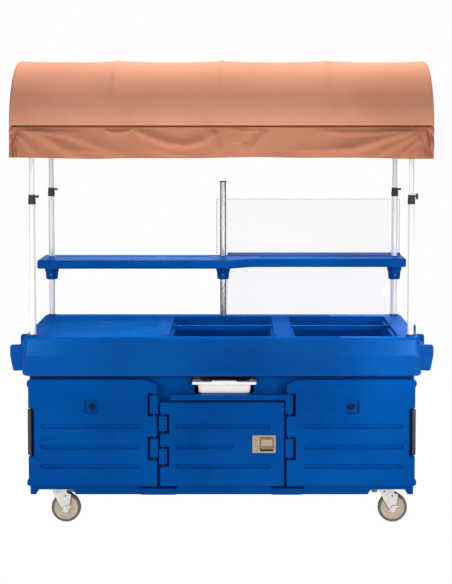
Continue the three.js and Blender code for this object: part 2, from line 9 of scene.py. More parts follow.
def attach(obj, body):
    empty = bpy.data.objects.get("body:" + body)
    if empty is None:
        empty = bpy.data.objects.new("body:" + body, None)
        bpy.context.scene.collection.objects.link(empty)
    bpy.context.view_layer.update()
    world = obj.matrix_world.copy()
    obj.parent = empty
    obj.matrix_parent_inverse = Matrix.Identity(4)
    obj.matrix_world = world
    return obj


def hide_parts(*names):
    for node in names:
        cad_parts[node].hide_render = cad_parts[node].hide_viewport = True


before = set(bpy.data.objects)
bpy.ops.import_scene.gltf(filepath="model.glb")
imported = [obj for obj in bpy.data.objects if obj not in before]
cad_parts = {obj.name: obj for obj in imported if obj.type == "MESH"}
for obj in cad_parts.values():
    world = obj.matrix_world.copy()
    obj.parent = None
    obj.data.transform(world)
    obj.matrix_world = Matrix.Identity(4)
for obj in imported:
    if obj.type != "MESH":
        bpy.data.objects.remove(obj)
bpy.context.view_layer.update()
scene = bpy.context.scene
COLL = scene.collection
rad = math.radians
CORNERS = [("front_left", -1, -1), ("front_right", 1, -1), ("rear_left", -1, 1), ("rear_right", 1, 1)]
SIDES = [("left", -1), ("right", 1)]

# ------------------------------------------------------------------ camera
cam = bpy.data.objects.new("camera", bpy.data.cameras.new("camera"))
COLL.objects.link(cam)
cam.location = (0.0737, -6.94083, 2.08367)
cam.rotation_euler = (rad(90 - 3.236), 0, 0)
cam.data.lens = 80.309
cam.data.sensor_width = 36
cam.data.shift_x = -0.01749
cam.data.shift_y = -0.17
cam.data.clip_start, cam.data.clip_end = 0.05, 200
scene.camera = cam

# --------------------------------------------------------- mesh building kit
# Shapes are made in millimetres and scaled to metres when they are finished.


def make(name, verts, faces):
    me = bpy.data.meshes.new(name)
    me.from_pydata([tuple(map(float, v)) for v in verts], [], [list(f) for f in faces])
    bm = bmesh.new()
    bm.from_mesh(me)
    bmesh.ops.recalc_face_normals(bm, faces=bm.faces)
    bm.to_mesh(me)
    bm.free()
    o = bpy.data.objects.new(name, me)
    COLL.objects.link(o)
    return o


def prism(axis, pts, a0, a1):
    n = len(pts)
    place = {"Z": lambda u, v, w: (u, v, w), "Y": lambda u, v, w: (u, w, v), "X": lambda u, v, w: (w, u, v)}[axis]
    verts = [place(u, v, a0) for u, v in pts] + [place(u, v, a1) for u, v in pts]
    faces = [list(range(n))[::-1], list(range(n, 2 * n))]
    faces += [(i, (i + 1) % n, n + (i + 1) % n, n + i) for i in range(n)]
    return make("prism", verts, faces)


def box(x0, x1, y0, y1, z0, z1):
    return prism("Z", [(x0, y0), (x1, y0), (x1, y1), (x0, y1)], z0, z1)


def rrect(x0, x1, y0, y1, r, n=8):
    pts = []
    for cx, cy, a0 in ((x1 - r, y0 + r, -90), (x1 - r, y1 - r, 0), (x0 + r, y1 - r, 90), (x0 + r, y0 + r, 180)):
        for i in range(n + 1):
            a = rad(a0 + 90 * i / n)
            pts.append((cx + r * math.cos(a), cy + r * math.sin(a)))
    return pts


def fillet(pts, r, n=6):
    """Rounds each corner of an outline; r is one radius or one for each corner."""
    out, m = [], len(pts)
    for i in range(m):
        ri = r[i] if isinstance(r, (list, tuple)) else r
        p, a, b = Vector(pts[i]), Vector(pts[i - 1]), Vector(pts[(i + 1) % m])
        u, v = (a - p), (b - p)
        lu, lv = u.length, v.length
        u.normalize()
        v.normalize()
        ang = math.acos(max(-1, min(1, u.dot(v))))
        if ri <= 0 or ang > rad(176):
            out.append(tuple(p))
            continue
        d = ri / math.tan(ang / 2)
        d = min(d, 0.48 * lu, 0.48 * lv)
        rr = d * math.tan(ang / 2)
        c = p + (u + v).normalized() * (rr / math.sin(ang / 2))
        s, e = p + u * d, p + v * d
        a0 = math.atan2(s.y - c.y, s.x - c.x)
        a1 = math.atan2(e.y - c.y, e.x - c.x)
        da = (a1 - a0 + math.pi) % (2 * math.pi) - math.pi
        for k in range(n + 1):
            t = a0 + da * k / n
            out.append((c.x + rr * math.cos(t), c.y + rr * math.sin(t)))
    return out


def loft(rings, axis="Z"):
    """rings: (level, outline) pairs with the same number of points."""
    n = len(rings[0][1])
    place = {"Z": lambda u, v, w: (u, v, w), "Y": lambda u, v, w: (u, w, v), "X": lambda u, v, w: (w, u, v)}[axis]
    verts = [place(u, v, z) for z, pts in rings for u, v in pts]
    faces = []
    for k in range(len(rings) - 1):
        for i in range(n):
            j = (i + 1) % n
            faces.append((k * n + i, k * n + j, (k + 1) * n + j, (k + 1) * n + i))
    top = (len(rings) - 1) * n
    faces += [list(range(n))[::-1], list(range(top, top + n))]
    return make("loft", verts, faces)


def lathe(profile, seg=32, axis="Z", at=(0, 0, 0)):
    """Turned shape from a closed profile of (radius, height)."""
    verts, rows = [], []
    for r, z in profile:
        if r <= 1e-6:
            rows.append([len(verts)] * seg)
            verts.append((0, 0, z))
        else:
            rows.append(list(range(len(verts), len(verts) + seg)))
            verts += [(r * math.cos(2 * math.pi * i / seg), r * math.sin(2 * math.pi * i / seg), z) for i in range(seg)]
    faces = []
    loops = len(rows) if profile[0][0] > 1e-6 else len(rows) - 1
    for k in range(loops):
        a, b = rows[k], rows[(k + 1) % len(rows)]
        for i in range(seg):
            j = (i + 1) % seg
            f = []
            for x in (a[i], a[j], b[j], b[i]):
                if x not in f:
                    f.append(x)
            if len(f) > 2:
                faces.append(f)
    turn = {"Z": lambda p: p, "Y": lambda p: (p[0], p[2], -p[1]), "X": lambda p: (p[2], p[1], -p[0])}[axis]
    return make("lathe", [tuple(np.add(turn(v), at)) for v in verts], faces)


def cyl(axis, c, a0, a1, r0, r1=None, seg=24):
    r1 = r0 if r1 is None else r1
    at = {"Z": (c[0], c[1], 0), "Y": (c[0], 0, c[1]), "X": (0, c[0], c[1])}[axis]
    return lathe([(0, a0), (r0, a0), (r1, a1), (0, a1)], seg, axis, at)


def sweep(path, r, seg=12):
    """Round bar along a list of points."""
    path = [Vector(p) for p in path]
    verts, faces = [], []
    up = Vector((1, 0, 0))
    for i, p in enumerate(path):
        t = (path[min(i + 1, len(path) - 1)] - path[max(i - 1, 0)]).normalized()
        a = up - t * up.dot(t)
        a.normalize()
        b = t.cross(a)
        for k in range(seg):
            w = 2 * math.pi * k / seg
            verts.append(p + a * (r * math.cos(w)) + b * (r * math.sin(w)))
    for i in range(len(path) - 1):
        for k in range(seg):
            j = (k + 1) % seg
            faces.append((i * seg + k, i * seg + j, (i + 1) * seg + j, (i + 1) * seg + k))
    last = (len(path) - 1) * seg
    faces += [list(range(seg))[::-1], list(range(last, last + seg))]
    return make("sweep", verts, faces)


def drop(*objs):
    for o in objs:
        me = o.data
        bpy.data.objects.remove(o)
        if me.users == 0:
            bpy.data.meshes.remove(me)


def bake(o):
    """Applies the object's modifiers."""
    bpy.context.view_layer.update()
    dg = bpy.context.evaluated_depsgraph_get()
    me = bpy.data.meshes.new_from_object(o.evaluated_get(dg), preserve_all_data_layers=True, depsgraph=dg)
    o.modifiers.clear()
    old = o.data
    o.data = me
    bpy.data.meshes.remove(old)
    return o


def boolean(o, tools, op):
    for t in tools:
        m = o.modifiers.new("b", "BOOLEAN")
        m.object, m.operation, m.solver = t, op, "MANIFOLD"
    bake(o)
    drop(*tools)
    return o


def cut(o, *tools):
    return boolean(o, tools, "DIFFERENCE")


def union(o, *tools):
    return boolean(o, tools, "UNION")


def clean(o, angle=0.25, dist=0.02):
    bm = bmesh.new()
    bm.from_mesh(o.data)
    bmesh.ops.remove_doubles(bm, verts=bm.verts, dist=dist)
    bmesh.ops.dissolve_limit(bm, angle_limit=rad(angle), use_dissolve_boundaries=False, verts=bm.verts, edges=bm.edges)
    bmesh.ops.recalc_face_normals(bm, faces=bm.faces)
    bm.to_mesh(o.data)
    bm.free()
    return o


def bevel(o, w, seg=3, angle=40, tidy=True):
    if tidy:
        clean(o)
    m = o.modifiers.new("bevel", "BEVEL")
    m.width, m.segments, m.limit_method, m.angle_limit = w, seg, "ANGLE", rad(angle)
    m.use_clamp_overlap, m.loop_slide = True, True
    return bake(o)


def move(o, x=0, y=0, z=0, rz=0):
    o.data.transform(Matrix.Translation((x, y, z)) @ Matrix.Rotation(rz, 4, "Z"))
    return o


def join(name, *objs):
    """One object of several shells."""
    bm = bmesh.new()
    for o in objs:
        bm.from_mesh(o.data)
    me = bpy.data.meshes.new(name)
    bm.to_mesh(me)
    bm.free()
    drop(*objs)
    o = bpy.data.objects.new(name, me)
    COLL.objects.link(o)
    return o


def finish(o, name, body, material, replaces=(), sharp=42, weighted=True, mm=True):
    """Scales to metres, shades, gives the material, and puts the piece on its body."""
    if mm:
        o.data.transform(Matrix.Scale(0.001, 4))
    o.name = o.data.name = name
    me = o.data
    me.shade_smooth()
    me.set_sharp_from_angle(angle=rad(sharp))
    if weighted:
        m = o.modifiers.new("wn", "WEIGHTED_NORMAL")
        m.mode, m.weight, m.keep_sharp = "FACE_AREA_WITH_ANGLE", 60, True
        bake(o)
    o.data.materials.clear()
    for mt in material if isinstance(material, (list, tuple)) else [material]:
        o.data.materials.append(mt)
    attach(o, body)
    if replaces:
        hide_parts(*replaces)
    return o


# ----------------------------------------------------------------- materials
class Mat:
    def __init__(self, name):
        self.m = bpy.data.materials.new(name)
        self.m.use_nodes = True
        self.t = self.m.node_tree
        self.p = self.t.nodes["Principled BSDF"]
        self.coord = self.t.nodes.new("ShaderNodeTexCoord")

    def n(self, kind, **kw):
        node = self.t.nodes.new(kind)
        for k, v in kw.items():
            if hasattr(node, k):
                setattr(node, k, v)
        return node

    def link(self, a, b):
        self.t.links.new(a, b)

    def set(self, **kw):
        for k, v in kw.items():
            self.p.inputs[k.replace("_", " ")].default_value = v
        return self

    def noise(self, scale, detail=3, rough=0.55, stretch=(1, 1, 1), source="Object"):
        mp = self.n("ShaderNodeMapping")
        mp.inputs["Scale"].default_value = stretch
        self.link(self.coord.outputs[source], mp.inputs["Vector"])
        t = self.n("ShaderNodeTexNoise")
        t.inputs["Scale"].default_value = scale
        t.inputs["Detail"].default_value = detail
        t.inputs["Roughness"].default_value = rough
        self.link(mp.outputs["Vector"], t.inputs["Vector"])
        return t.outputs["Fac"]

    def ramp(self, fac, lo, hi, a=(0, 0, 0, 1), b=(1, 1, 1, 1)):
        r = self.n("ShaderNodeValToRGB")
        r.color_ramp.elements[0].position, r.color_ramp.elements[1].position = lo, hi
        r.color_ramp.elements[0].color, r.color_ramp.elements[1].color = a, b
        self.link(fac, r.inputs["Fac"])
        return r.outputs["Color"]

    def mix(self, fac, a, b, blend="MIX"):
        x = self.n("ShaderNodeMix", data_type="RGBA", blend_type=blend)
        for s, v in ((0, fac), (6, a), (7, b)):
            if hasattr(v, "links"):
                self.link(v, x.inputs[s])
            else:
                x.inputs[s].default_value = v
        return x.outputs[2]

    def math(self, op, a, b):
        x = self.n("ShaderNodeMath", operation=op)
        for s, v in ((0, a), (1, b)):
            if hasattr(v, "links"):
                self.link(v, x.inputs[s])
            else:
                x.inputs[s].default_value = v
        return x.outputs[0]

    def range(self, fac, a, b, lo=0.3, hi=0.7):
        x = self.n("ShaderNodeMapRange")
        self.link(fac, x.inputs["Value"])
        for k, v in (("From Min", lo), ("From Max", hi), ("To Min", a), ("To Max", b)):
            x.inputs[k].default_value = v
        return x.outputs["Result"]

    def bump(self, height, distance, strength=1.0, below=None):
        b = self.n("ShaderNodeBump")
        b.inputs["Strength"].default_value = strength
        b.inputs["Distance"].default_value = distance
        self.link(height, b.inputs["Height"])
        if below is not None:
            self.link(below, b.inputs["Normal"])
        return b.outputs["Normal"]

    def out(self, color=None, rough=None, normal=None):
        if color is not None:
            self.link(color, self.p.inputs["Base Color"])
        if rough is not None:
            self.link(rough, self.p.inputs["Roughness"])
        if normal is not None:
            self.link(normal, self.p.inputs["Normal"])
        return self.m


def moulded_blue(name, streaks=False, painted_light_gain=1.0, gloss=0.13, skirt=False, dull=0.29):
    """Rotationally moulded polyethylene: satin, slightly wavy, with a fine pebble and faint flow mottling."""
    m = Mat(name).set(Specular_IOR_Level=gloss, Specular_Tint=(0.13, 0.40, 1.0, 1), IOR=1.5)
    big = m.noise(2.2, 3, 0.5)
    mid = m.noise(26, 4, 0.6, (1, 1, 1.6))
    # painted light: a gain above 1 makes a lighter copy of this blue for faces that face up
    k = painted_light_gain
    color = m.mix(m.range(big, 0, 1, 0.35, 0.65), (0.0, 0.053 * k, 0.258 * k, 1), (0.0, 0.079 * k, 0.345 * k, 1))
    color = m.mix(m.range(mid, 0, 0.35, 0.4, 0.75), color, (0.002, 0.088 * k, 0.36 * k, 1))
    if skirt:  # painted shade: the plastic is darker towards the floor, at the base below the doors
        low = m.n("ShaderNodeSeparateXYZ")
        m.link(m.coord.outputs["Object"], low.inputs["Vector"])
        color = m.mix(m.range(low.outputs["Z"], 0.38, 0.0, 0.2, 0.225), color, (0.0, 0.03, 0.14, 1))
    # fine pale scuffs, mostly along the length
    scuff = m.ramp(m.noise(9, 6, 0.75, (1, 14, 14)), 0.66, 0.8)
    patch = m.ramp(m.noise(3.1, 2, 0.5), 0.52, 0.66)
    scuff = m.math("MULTIPLY", scuff, patch)
    color = m.mix(m.math("MULTIPLY", scuff, 0.22 if streaks else 0.1), color, (0.08, 0.22, 0.60, 1))
    rough = m.math("ADD", m.range(mid, dull, dull + 0.11), m.math("MULTIPLY", scuff, 0.12))
    wave = m.bump(m.noise(14, 2, 0.4), 0.0016, 0.5)
    grain = m.bump(m.noise(1100, 2, 0.6), 0.00012, 0.45, wave)
    return m.out(color, rough, grain)


def worn_top_painted_sheen():
    """The cutting surface: the same plastic, coarser and duller, clouded by use, in lighter blues that are a painted
    reflection of the bright backdrop.
    """
    m = Mat("work_surface_blue_painted_sheen").set(Specular_IOR_Level=0.0003, Specular_Tint=(0.13, 0.40, 1.0, 1), IOR=1.5)
    cloud = m.noise(5.5, 6, 0.7, (1, 1, 1))
    mid = m.noise(38, 5, 0.65)
    # painted reflection: these blues are lighter than the body's, standing in for the backdrop's sheen on the top
    color = m.mix(m.range(cloud, 0, 1, 0.38, 0.62), (0.0, 0.102, 0.42, 1), (0.0, 0.13, 0.50, 1))
    color = m.mix(m.range(mid, 0, 0.4, 0.45, 0.75), color, (0.01, 0.175, 0.60, 1))
    # knife and pan marks in several directions, partly real marks and partly painted reflection streaks
    marks_and_painted_sheen = m.ramp(m.noise(5, 7, 0.75, (1, 13, 1)), 0.5, 0.72)
    cross = m.ramp(m.noise(8, 7, 0.8, (15, 1.5, 1)), 0.64, 0.78)
    patch = m.ramp(m.noise(2.6, 2, 0.5), 0.38, 0.62)
    marks_and_painted_sheen = m.math("MULTIPLY", marks_and_painted_sheen, patch)
    color = m.mix(m.math("MULTIPLY", m.math("MAXIMUM", marks_and_painted_sheen, cross), 0.42), color, (0.12, 0.27, 0.72, 1))
    rough = m.range(mid, 0.55, 0.72)
    fine = m.bump(m.noise(420, 3, 0.65), 0.0003, 0.5, m.bump(cloud, 0.001, 0.3))
    return m.out(color, rough, fine)


def simple(name, a, b, r0, r1, scale=40, grain=900, depth=0.0001, metallic=0.0, stretch=(1, 1, 1), spec=0.5, wear=None):
    """Two-tone material with roughness variation and a fine bump."""
    m = Mat(name).set(Metallic=metallic, Specular_IOR_Level=spec)
    f = m.noise(scale, 4, 0.6, stretch)
    color = m.mix(m.range(f, 0, 1), (*a, 1), (*b, 1))
    rough = m.range(f, r0, r1)
    if wear:
        w = m.ramp(m.noise(scale * 2.7, 5, 0.7, stretch), 0.6, 0.72)
        color = m.mix(m.math("MULTIPLY", w, 0.5), color, (*wear, 1))
    return m.out(color, rough, m.bump(m.noise(grain, 2, 0.6, stretch), depth, 0.5))


BLUE = moulded_blue("moulded_blue", skirt=True)
BLUE_TOP = moulded_blue("moulded_blue_counter", True, gloss=0.4, dull=0.3)
# Lighter copies of the same blue for the rim, strip and shelf tops: painted light where the tops catch the light.
BLUE_RIM_PAINTED_LIGHT = moulded_blue("moulded_blue_rim_painted_light", True, 2.05, 0.0025)
BLUE_STRIP_PAINTED_LIGHT = moulded_blue("moulded_blue_strip_painted_light", True, 1.32, 0.0003)
BLUE_SHELF_PAINTED_LIGHT = moulded_blue("moulded_blue_shelf_painted_light", True, 1.15, 0.001)
BLUE_DISH = worn_top_painted_sheen()
CAP_BLACK = simple("cap_black", (0.010, 0.009, 0.0075), (0.019, 0.017, 0.0145), 0.5, 0.65, 60, 1400, 0.00015, spec=0.12)
BLACK = simple("black_nylon", (0.022, 0.0205, 0.018), (0.038, 0.035, 0.031), 0.38, 0.55, 60, 1400, 0.00015)
COLLAR = simple("collar_black", (0.022, 0.016, 0.011), (0.04, 0.03, 0.022), 0.3, 0.5, 60, 1400, 0.0001)
HANDLE = simple("handle_black", (0.030, 0.025, 0.020), (0.045, 0.038, 0.030), 0.42, 0.6, 50, 1300, 0.0002)
ALU = simple("drawn_aluminium", (0.94, 0.935, 0.925), (0.98, 0.975, 0.965), 0.3, 0.4, 8, 420, 0.00003, 0.15, (14, 14, 0.6))
CHROME = simple("chrome_tube", (0.455, 0.435, 0.41), (0.50, 0.48, 0.455), 0.25, 0.3, 10, 12, 0.0, 1.0, (6, 6, 0.5))
PADDLE = simple("brushed_steel_paddle", (0.56, 0.42, 0.27), (0.68, 0.53, 0.36), 0.28, 0.42, 30, 900, 0.00006, 1.0, (0.4, 4, 12))
STEEL = simple("brushed_steel", (0.45, 0.365, 0.27), (0.56, 0.46, 0.355), 0.26, 0.4, 30, 900, 0.00006, 1.0, (0.4, 4, 12))
ZINC = simple("zinc_plate", (0.72, 0.69, 0.67), (0.86, 0.83, 0.81), 0.32, 0.5, 34, 600, 0.00008, 0.85, (1, 1, 1), 0.5, (0.55, 0.5, 0.45))
# dark navy colour on the hinge rods: painted shade of the hinge gaps they sit in
PIN_GAP_SHADE = simple("hinge_rod", (0.03, 0.06, 0.16), (0.05, 0.09, 0.22), 0.45, 0.6, 40, 700, 0.0001, 0.2)
DARK_STEEL = simple("dark_steel", (0.12, 0.095, 0.075), (0.2, 0.17, 0.14), 0.4, 0.6, 40, 700, 0.0001, 0.7)
WHITE = simple("white_pan", (0.985, 0.965, 0.91), (1.0, 0.985, 0.94), 0.28, 0.4, 12, 700, 0.00005)
TYRE = simple("tyre_rubber", (0.10, 0.088, 0.077), (0.17, 0.15, 0.13), 0.6, 0.8, 30, 800, 0.0003, wear=(0.2, 0.18, 0.16))
HUB = simple("hub_nylon", (0.46, 0.37, 0.28), (0.58, 0.475, 0.37), 0.4, 0.55, 22, 700, 0.0001, wear=(0.3, 0.24, 0.18))


def clear_sheet():
    m = Mat("clear_acrylic").set(Alpha=0.095, Roughness=0.06, IOR=1.49, Specular_IOR_Level=0.15)
    f = m.noise(2.4, 3, 0.5)
    color = m.mix(m.range(f, 0, 1), (0.80, 0.80, 0.86, 1), (0.88, 0.84, 0.88, 1))
    out = m.out(color, m.range(m.noise(55, 4, 0.6, (1, 6, 6)), 0.04, 0.12), m.bump(m.noise(5, 1, 0.4), 0.0005, 0.3))
    out.surface_render_method = "BLENDED"
    return out


def clear_edge_painted_shade():
    # Grey colour for the sheet's edges: painted shade standing in for the dark look of the acrylic's edges.
    m = Mat("clear_acrylic_edge_painted_shade").set(Alpha=0.6, Roughness=0.2, IOR=1.49)
    color = m.mix(m.range(m.noise(30, 3, 0.5), 0, 1), (0.24, 0.25, 0.24, 1), (0.32, 0.33, 0.32, 1))
    return m.out(color, m.range(m.noise(200, 3, 0.5), 0.15, 0.3), m.bump(m.noise(300, 2, 0.5), 0.0001, 0.4))


CLEAR, CLEAR_EDGE_SHADE = clear_sheet(), clear_edge_painted_shade()


def canvas(name, inside=False):
    """Coated woven fabric: fine plain weave from the sheet's own cloth coordinates, faint colour variation."""
    m = Mat(name).set(Specular_IOR_Level=0.0)
    uv = m.n("ShaderNodeUVMap", uv_map="cloth")
    sep = m.n("ShaderNodeSeparateXYZ")
    m.link(uv.outputs["UV"], sep.inputs["Vector"])
    warp = m.math("SINE", m.math("MULTIPLY", sep.outputs["X"], 2 * math.pi / 0.0011), 0)
    weft = m.math("SINE", m.math("MULTIPLY", sep.outputs["Y"], 2 * math.pi / 0.0011), 0)
    weave = m.math("MULTIPLY", warp, weft)
    slub = m.noise(60, 4, 0.65, (1, 1, 9))
    big = m.noise(2.6, 3, 0.5)
    a, b = ((0.78, 0.335, 0.205, 1), (0.86, 0.395, 0.25, 1)) if not inside else ((0.7, 0.31, 0.2, 1), (0.78, 0.36, 0.23, 1))
    color = m.mix(m.range(big, 0, 1, 0.35, 0.65), a, b)
    color = m.mix(m.range(slub, 0, 0.25, 0.4, 0.8), color, (0.72, 0.29, 0.17, 1))
    color = m.mix(m.range(weave, 0.0, 0.16, -1, 1), color, (0.95, 0.5, 0.34, 1))
    # painted shade: the valance below the eave is coloured browner and darker than the stretched roof, standing in for
    # the shade it hangs in
    valance_shade_z = m.n("ShaderNodeSeparateXYZ")
    m.link(m.coord.outputs["Object"], valance_shade_z.inputs["Vector"])
    color = m.mix(m.range(valance_shade_z.outputs["Z"], 0.45, 0.0, 2.036, 2.05), color, (0.30, 0.085, 0.035, 1))
    creases = m.bump(m.noise(9, 5, 0.55), 0.0022, 0.35)
    fine = m.bump(weave, 0.00012, 0.35, creases)
    return m.out(color, m.range(slub, 0.42, 0.58), m.bump(slub, 0.0001, 0.3, fine))


CANVAS = canvas("canopy_canvas")
# dark tape colour: painted shadow for the recess along the eave
EAVE_SHADOW_TAPE = simple("eave_tape_painted_shadow", (0.30, 0.125, 0.06), (0.38, 0.16, 0.085), 0.7, 0.85, 180, 1600, 0.0003)
THREAD = simple("seam_thread", (0.55, 0.24, 0.15), (0.66, 0.31, 0.2), 0.6, 0.75, 300, 2500, 0.0001)

# ------------------------------------------------------------ dimensions (mm)
COUNTER = dict(x=1018, y=413, z0=783.5, crease=888, top=980, r=46)
WELL_Y = (-366, 306)
WELLS = {"middle": (-270, 270), "right": (365, 900)}
DIVIDER_Y = 35
SURFACE = dict(x0=-915, x1=-338, y0=-374, y1=330)
HANDLE_YS = (-330, 0, 330)
DOOR_F, DOOR_B = -385, -349
HINGE_Y = -367
HINGE_X = {"left": -345, "center": -299.5, "right": 345}
KNUCKLE = ((360, 455), (586, 679))
KNUCKLE_C = ((326.8, 403.6), (498.7, 571.4))
NOTCH = ((345.5, 467.6), (571.5, 691))
NOTCH_C = ((312.1, 415.8), (482.4, 581.6))
GROOVES_Z = (313.7, 414.8, 520.1)
LATCH_Z = (372.7, 606.5)
POST_X, POST_Y = 962, 348

# -------------------------------------------------------------- counter body


def ring(z, inset):
    c = COUNTER
    return (z, rrect(-c["x"] + inset, c["x"] - inset, -c["y"] + inset, c["y"] - inset, c["r"] - inset * 0.5, 12))


def counter():
    prof = [(783.5, 8.5), (785, 5.8), (789, 3.6), (796, 2.6)]
    prof += [(883, 1.2), (886.5, 0.2), (888.5, 0), (891.5, 1.2), (894, 2.0), (960, 10.4), (967, 11.4)]
    for k in range(1, 7):  # rolled top edge
        a = rad(15 * k)
        prof.append((968.5 + 11.5 * math.sin(a), 11.6 + 11.5 * (1 - math.cos(a))))
    body = loft([ring(z, i) for z, i in prof])
    for _, s in SIDES:
        for y in HANDLE_YS:
            p = [(s * 996, 802), (s * 1060, 798), (s * 1068, 806), (s * 1082, 880), (s * 1082, 931), (s * 996, 932)]
            rib = prism("Y", fillet(p, [0, 7, 7, 30, 11, 0], 5), y - 15.5, y + 15.5)
            body = union(body, bevel(rib, 5, 3, 40))
        body = union(body, prism("Y", rrect(min(s * 1040, s * 1070), max(s * 1040, s * 1070), 862, 902, 12, 6), -330, 330))
    tools = []
    for x0, x1 in WELLS.values():
        def well(i, r, z0, z1, lean=0):
            a = rrect(x0 + i + lean, x1 - i - lean, WELL_Y[0] + i + lean, WELL_Y[1] - i - lean, r, 6)
            b = rrect(x0 + i, x1 - i, WELL_Y[0] + i, WELL_Y[1] - i, r, 6)
            return loft([(z0, a), (z1, b)])
        tools += [well(0, 18, 958, 985), well(14, 16, 907, 960), well(19, 15, 802, 910, 3)]
        for y in (DIVIDER_Y, -337):
            tools.append(box(x0 - 14, x1 + 14, y - 9, y + 9, 948, 985))
    d = SURFACE
    dish = [(z, rrect(d["x0"] + i, d["x1"] - i, d["y0"] + i, d["y1"] - i, 26 - i / 2, 8))
            for z, i in ((973, 17), (973.4, 14), (978.6, 2.5), (980, 0), (984, -3))]
    tools.append(loft(dish))
    for _, sx, sy in CORNERS:
        tools.append(cyl("Z", (sx * POST_X, sy * POST_Y), 929, 990, 16.9, seg=24))
    tools.append(cyl("Z", (0, POST_Y), 929, 990, 17.4, seg=24))
    cut(body, *tools)
    bevel(body, 2.6, 3, 42)
    body_split = 0.6 if max(abs(v.co.x) for v in body.data.vertices) < 10 else 600
    bm = bmesh.new()
    bm.from_mesh(body.data)
    bmesh.ops.bisect_plane(bm, geom=bm.verts[:] + bm.edges[:] + bm.faces[:], plane_co=(body_split, 0, 0), plane_no=(1, 0, 0))
    bm.to_mesh(body.data)
    bm.free()
    body = finish(body, "counter_moulding", "cart", [BLUE_TOP, BLUE_DISH, BLUE_RIM_PAINTED_LIGHT, BLUE, BLUE_STRIP_PAINTED_LIGHT], ["counter_body"])
    # upward faces take the lighter blue copies: painted light on the tops, the brightest at the right end
    for p in body.data.polygons:
        c = p.center * 1000
        if d["x0"] - 1 < c.x < d["x1"] + 1 and d["y0"] - 1 < c.y < d["y1"] + 1 and 970 < c.z < 978:
            p.material_index = 1
        elif p.normal.z > 0.75:
            p.material_index = 2 if c.x > 600 else 4
        elif c.z > 966 and p.normal.z > 0.1:
            p.material_index = 4
    return body


counter()
for nm, (x0, x1) in WELLS.items():
    y = DIVIDER_Y
    bar = prism("X", [(y - 7, 949), (y + 7, 949), (y + 7, 973), (y - 7, 973)], x0 - 13.2, x1 + 13.2)
    lip = prism("X", [(y - 5.5, 945.5), (y + 5.5, 945.5), (y + 5.5, 950), (y - 5.5, 950)], x0 + 16, x1 - 16)
    bar = bevel(union(bar, lip), 2.2, 3, 40)
    bar = finish(bar, f"divider_bar_{nm}", f"divider_{nm}", [BLUE, BLUE_RIM_PAINTED_LIGHT], [f"well_divider_{nm}"])
    # the bar's upward faces take the lighter blue copy: painted light on the top
    for p in bar.data.polygons:
        p.material_index = 1 if p.normal.z > 0.6 else 0

# ------------------------------------------------------------------- cabinet


def cabinet():
    f, b, x = -343, 385, 985
    outline = fillet([(-x, f), (x, f), (x, b), (-x, b)], [9, 9, 26, 26], 8)
    body = prism("Z", outline, 192, 783.1)
    skirt = prism("Z", fillet([(-981, -373), (981, -373), (981, 381), (-981, 381)], 14, 6), 166.7, 209.5)
    parts = [skirt]
    for x0, x1 in ((-417, -230), (255, 416.6)):
        parts.append(prism("Z", [(x0, -372), (x0 + 8, DOOR_F), (x1 - 8, DOOR_F), (x1, -372)], 167.7, 198))

    def bar(x0, x1, z0, z1, r=5):
        return prism("Y", rrect(x0, x1, z0, z1, r, 4), DOOR_F, f + 2)
    ledge = fillet([(-261.6, 656.3), (325.6, 656.3), (325.6, KNUCKLE[1][0]), (362.7, KNUCKLE[1][0]), (362.7, 681.2), (-261.6, 681.2)],
                   [5, 6, 5, 5, 5, 8], 4)
    parts.append(prism("Y", ledge, DOOR_F, f + 2))
    parts.append(bar(325.6, 362.7, *KNUCKLE[0]))
    for z in KNUCKLE:
        parts.append(bar(-365.3, -325.1, *z))
    for z in KNUCKLE_C:
        parts.append(bar(-319.6, -279.4, *z))
    union(body, *parts)
    bevel(body, 4, 3, 60)

    def bay(x0, x1, z0, z1):
        return prism("Y", rrect(x0, x1, z0, z1, 22, 6), f - 20, 352)
    tools = [bay(-952, -382, 232, 752), bay(-262, 292, 232, 628), bay(382, 952, 232, 752),
             box(-948, 948, -342, 350, 160, 192)]
    tools.append(prism("Y", fillet([(-172, 674), (192, 674), (192, 800), (-172, 800)], [6, 6, 0, 0], 4), f - 5, f + 5))
    for x0, x1 in ((-430, -217), (242, 429)):
        tools.append(prism("Y", fillet([(x0, 216), (x0 + 12, 199), (x1 - 12, 199), (x1, 216)], [2, 8, 8, 2], 4), -395, -356))
    slot = [(-142, 679), (165, 679), (165, 733), (182, 733), (182, 752), (160, 770), (-136, 770), (-158, 752), (-158, 733), (-142, 733)]
    tools.append(prism("Y", fillet(slot, [12, 12, 2, 2, 3, 3, 3, 3, 2, 2], 4), f - 5, -300))
    tools.append(box(-164, 188.8, -318, 200, 668, 771))
    for _, s in SIDES:
        p = [(s * 950, 160), (s * 950, 166.7), (s * 935, 192), (s * 762, 192), (s * 747, 166.7), (s * 747, 160)]
        tools.append(prism("Y", fillet(p, [0, 5, 5, 5, 5, 0], 4), -400, 400))
    for k in ("left", "right"):
        tools.append(cyl("Z", (HINGE_X[k], HINGE_Y), 355, 682, 4.6, seg=16))
    tools.append(cyl("Z", (HINGE_X["center"], HINGE_Y), 320, 575, 4.6, seg=16))
    cut(body, *tools)
    bevel(body, 1.8, 2, 55)
    return finish(body, "cabinet_moulding", "cart", BLUE, ["cabinet_body"])


cabinet()
for nm, x, z0, z1 in (("left", -345, 331, 706), ("right", 345, 331, 706), ("center", -299.5, 298, 596)):
    pin = lathe([(0, z0), (3.2, z0), (4, z0 + 0.8), (4, z1 - 0.8), (3.2, z1), (0, z1)], 20, "Z", (x, HINGE_Y, 0))
    finish(pin, f"hinge_rod_{nm}", "cart", PIN_GAP_SHADE, [f"{nm}_hinge_pin"], weighted=False)

# --------------------------------------------------------------------- doors


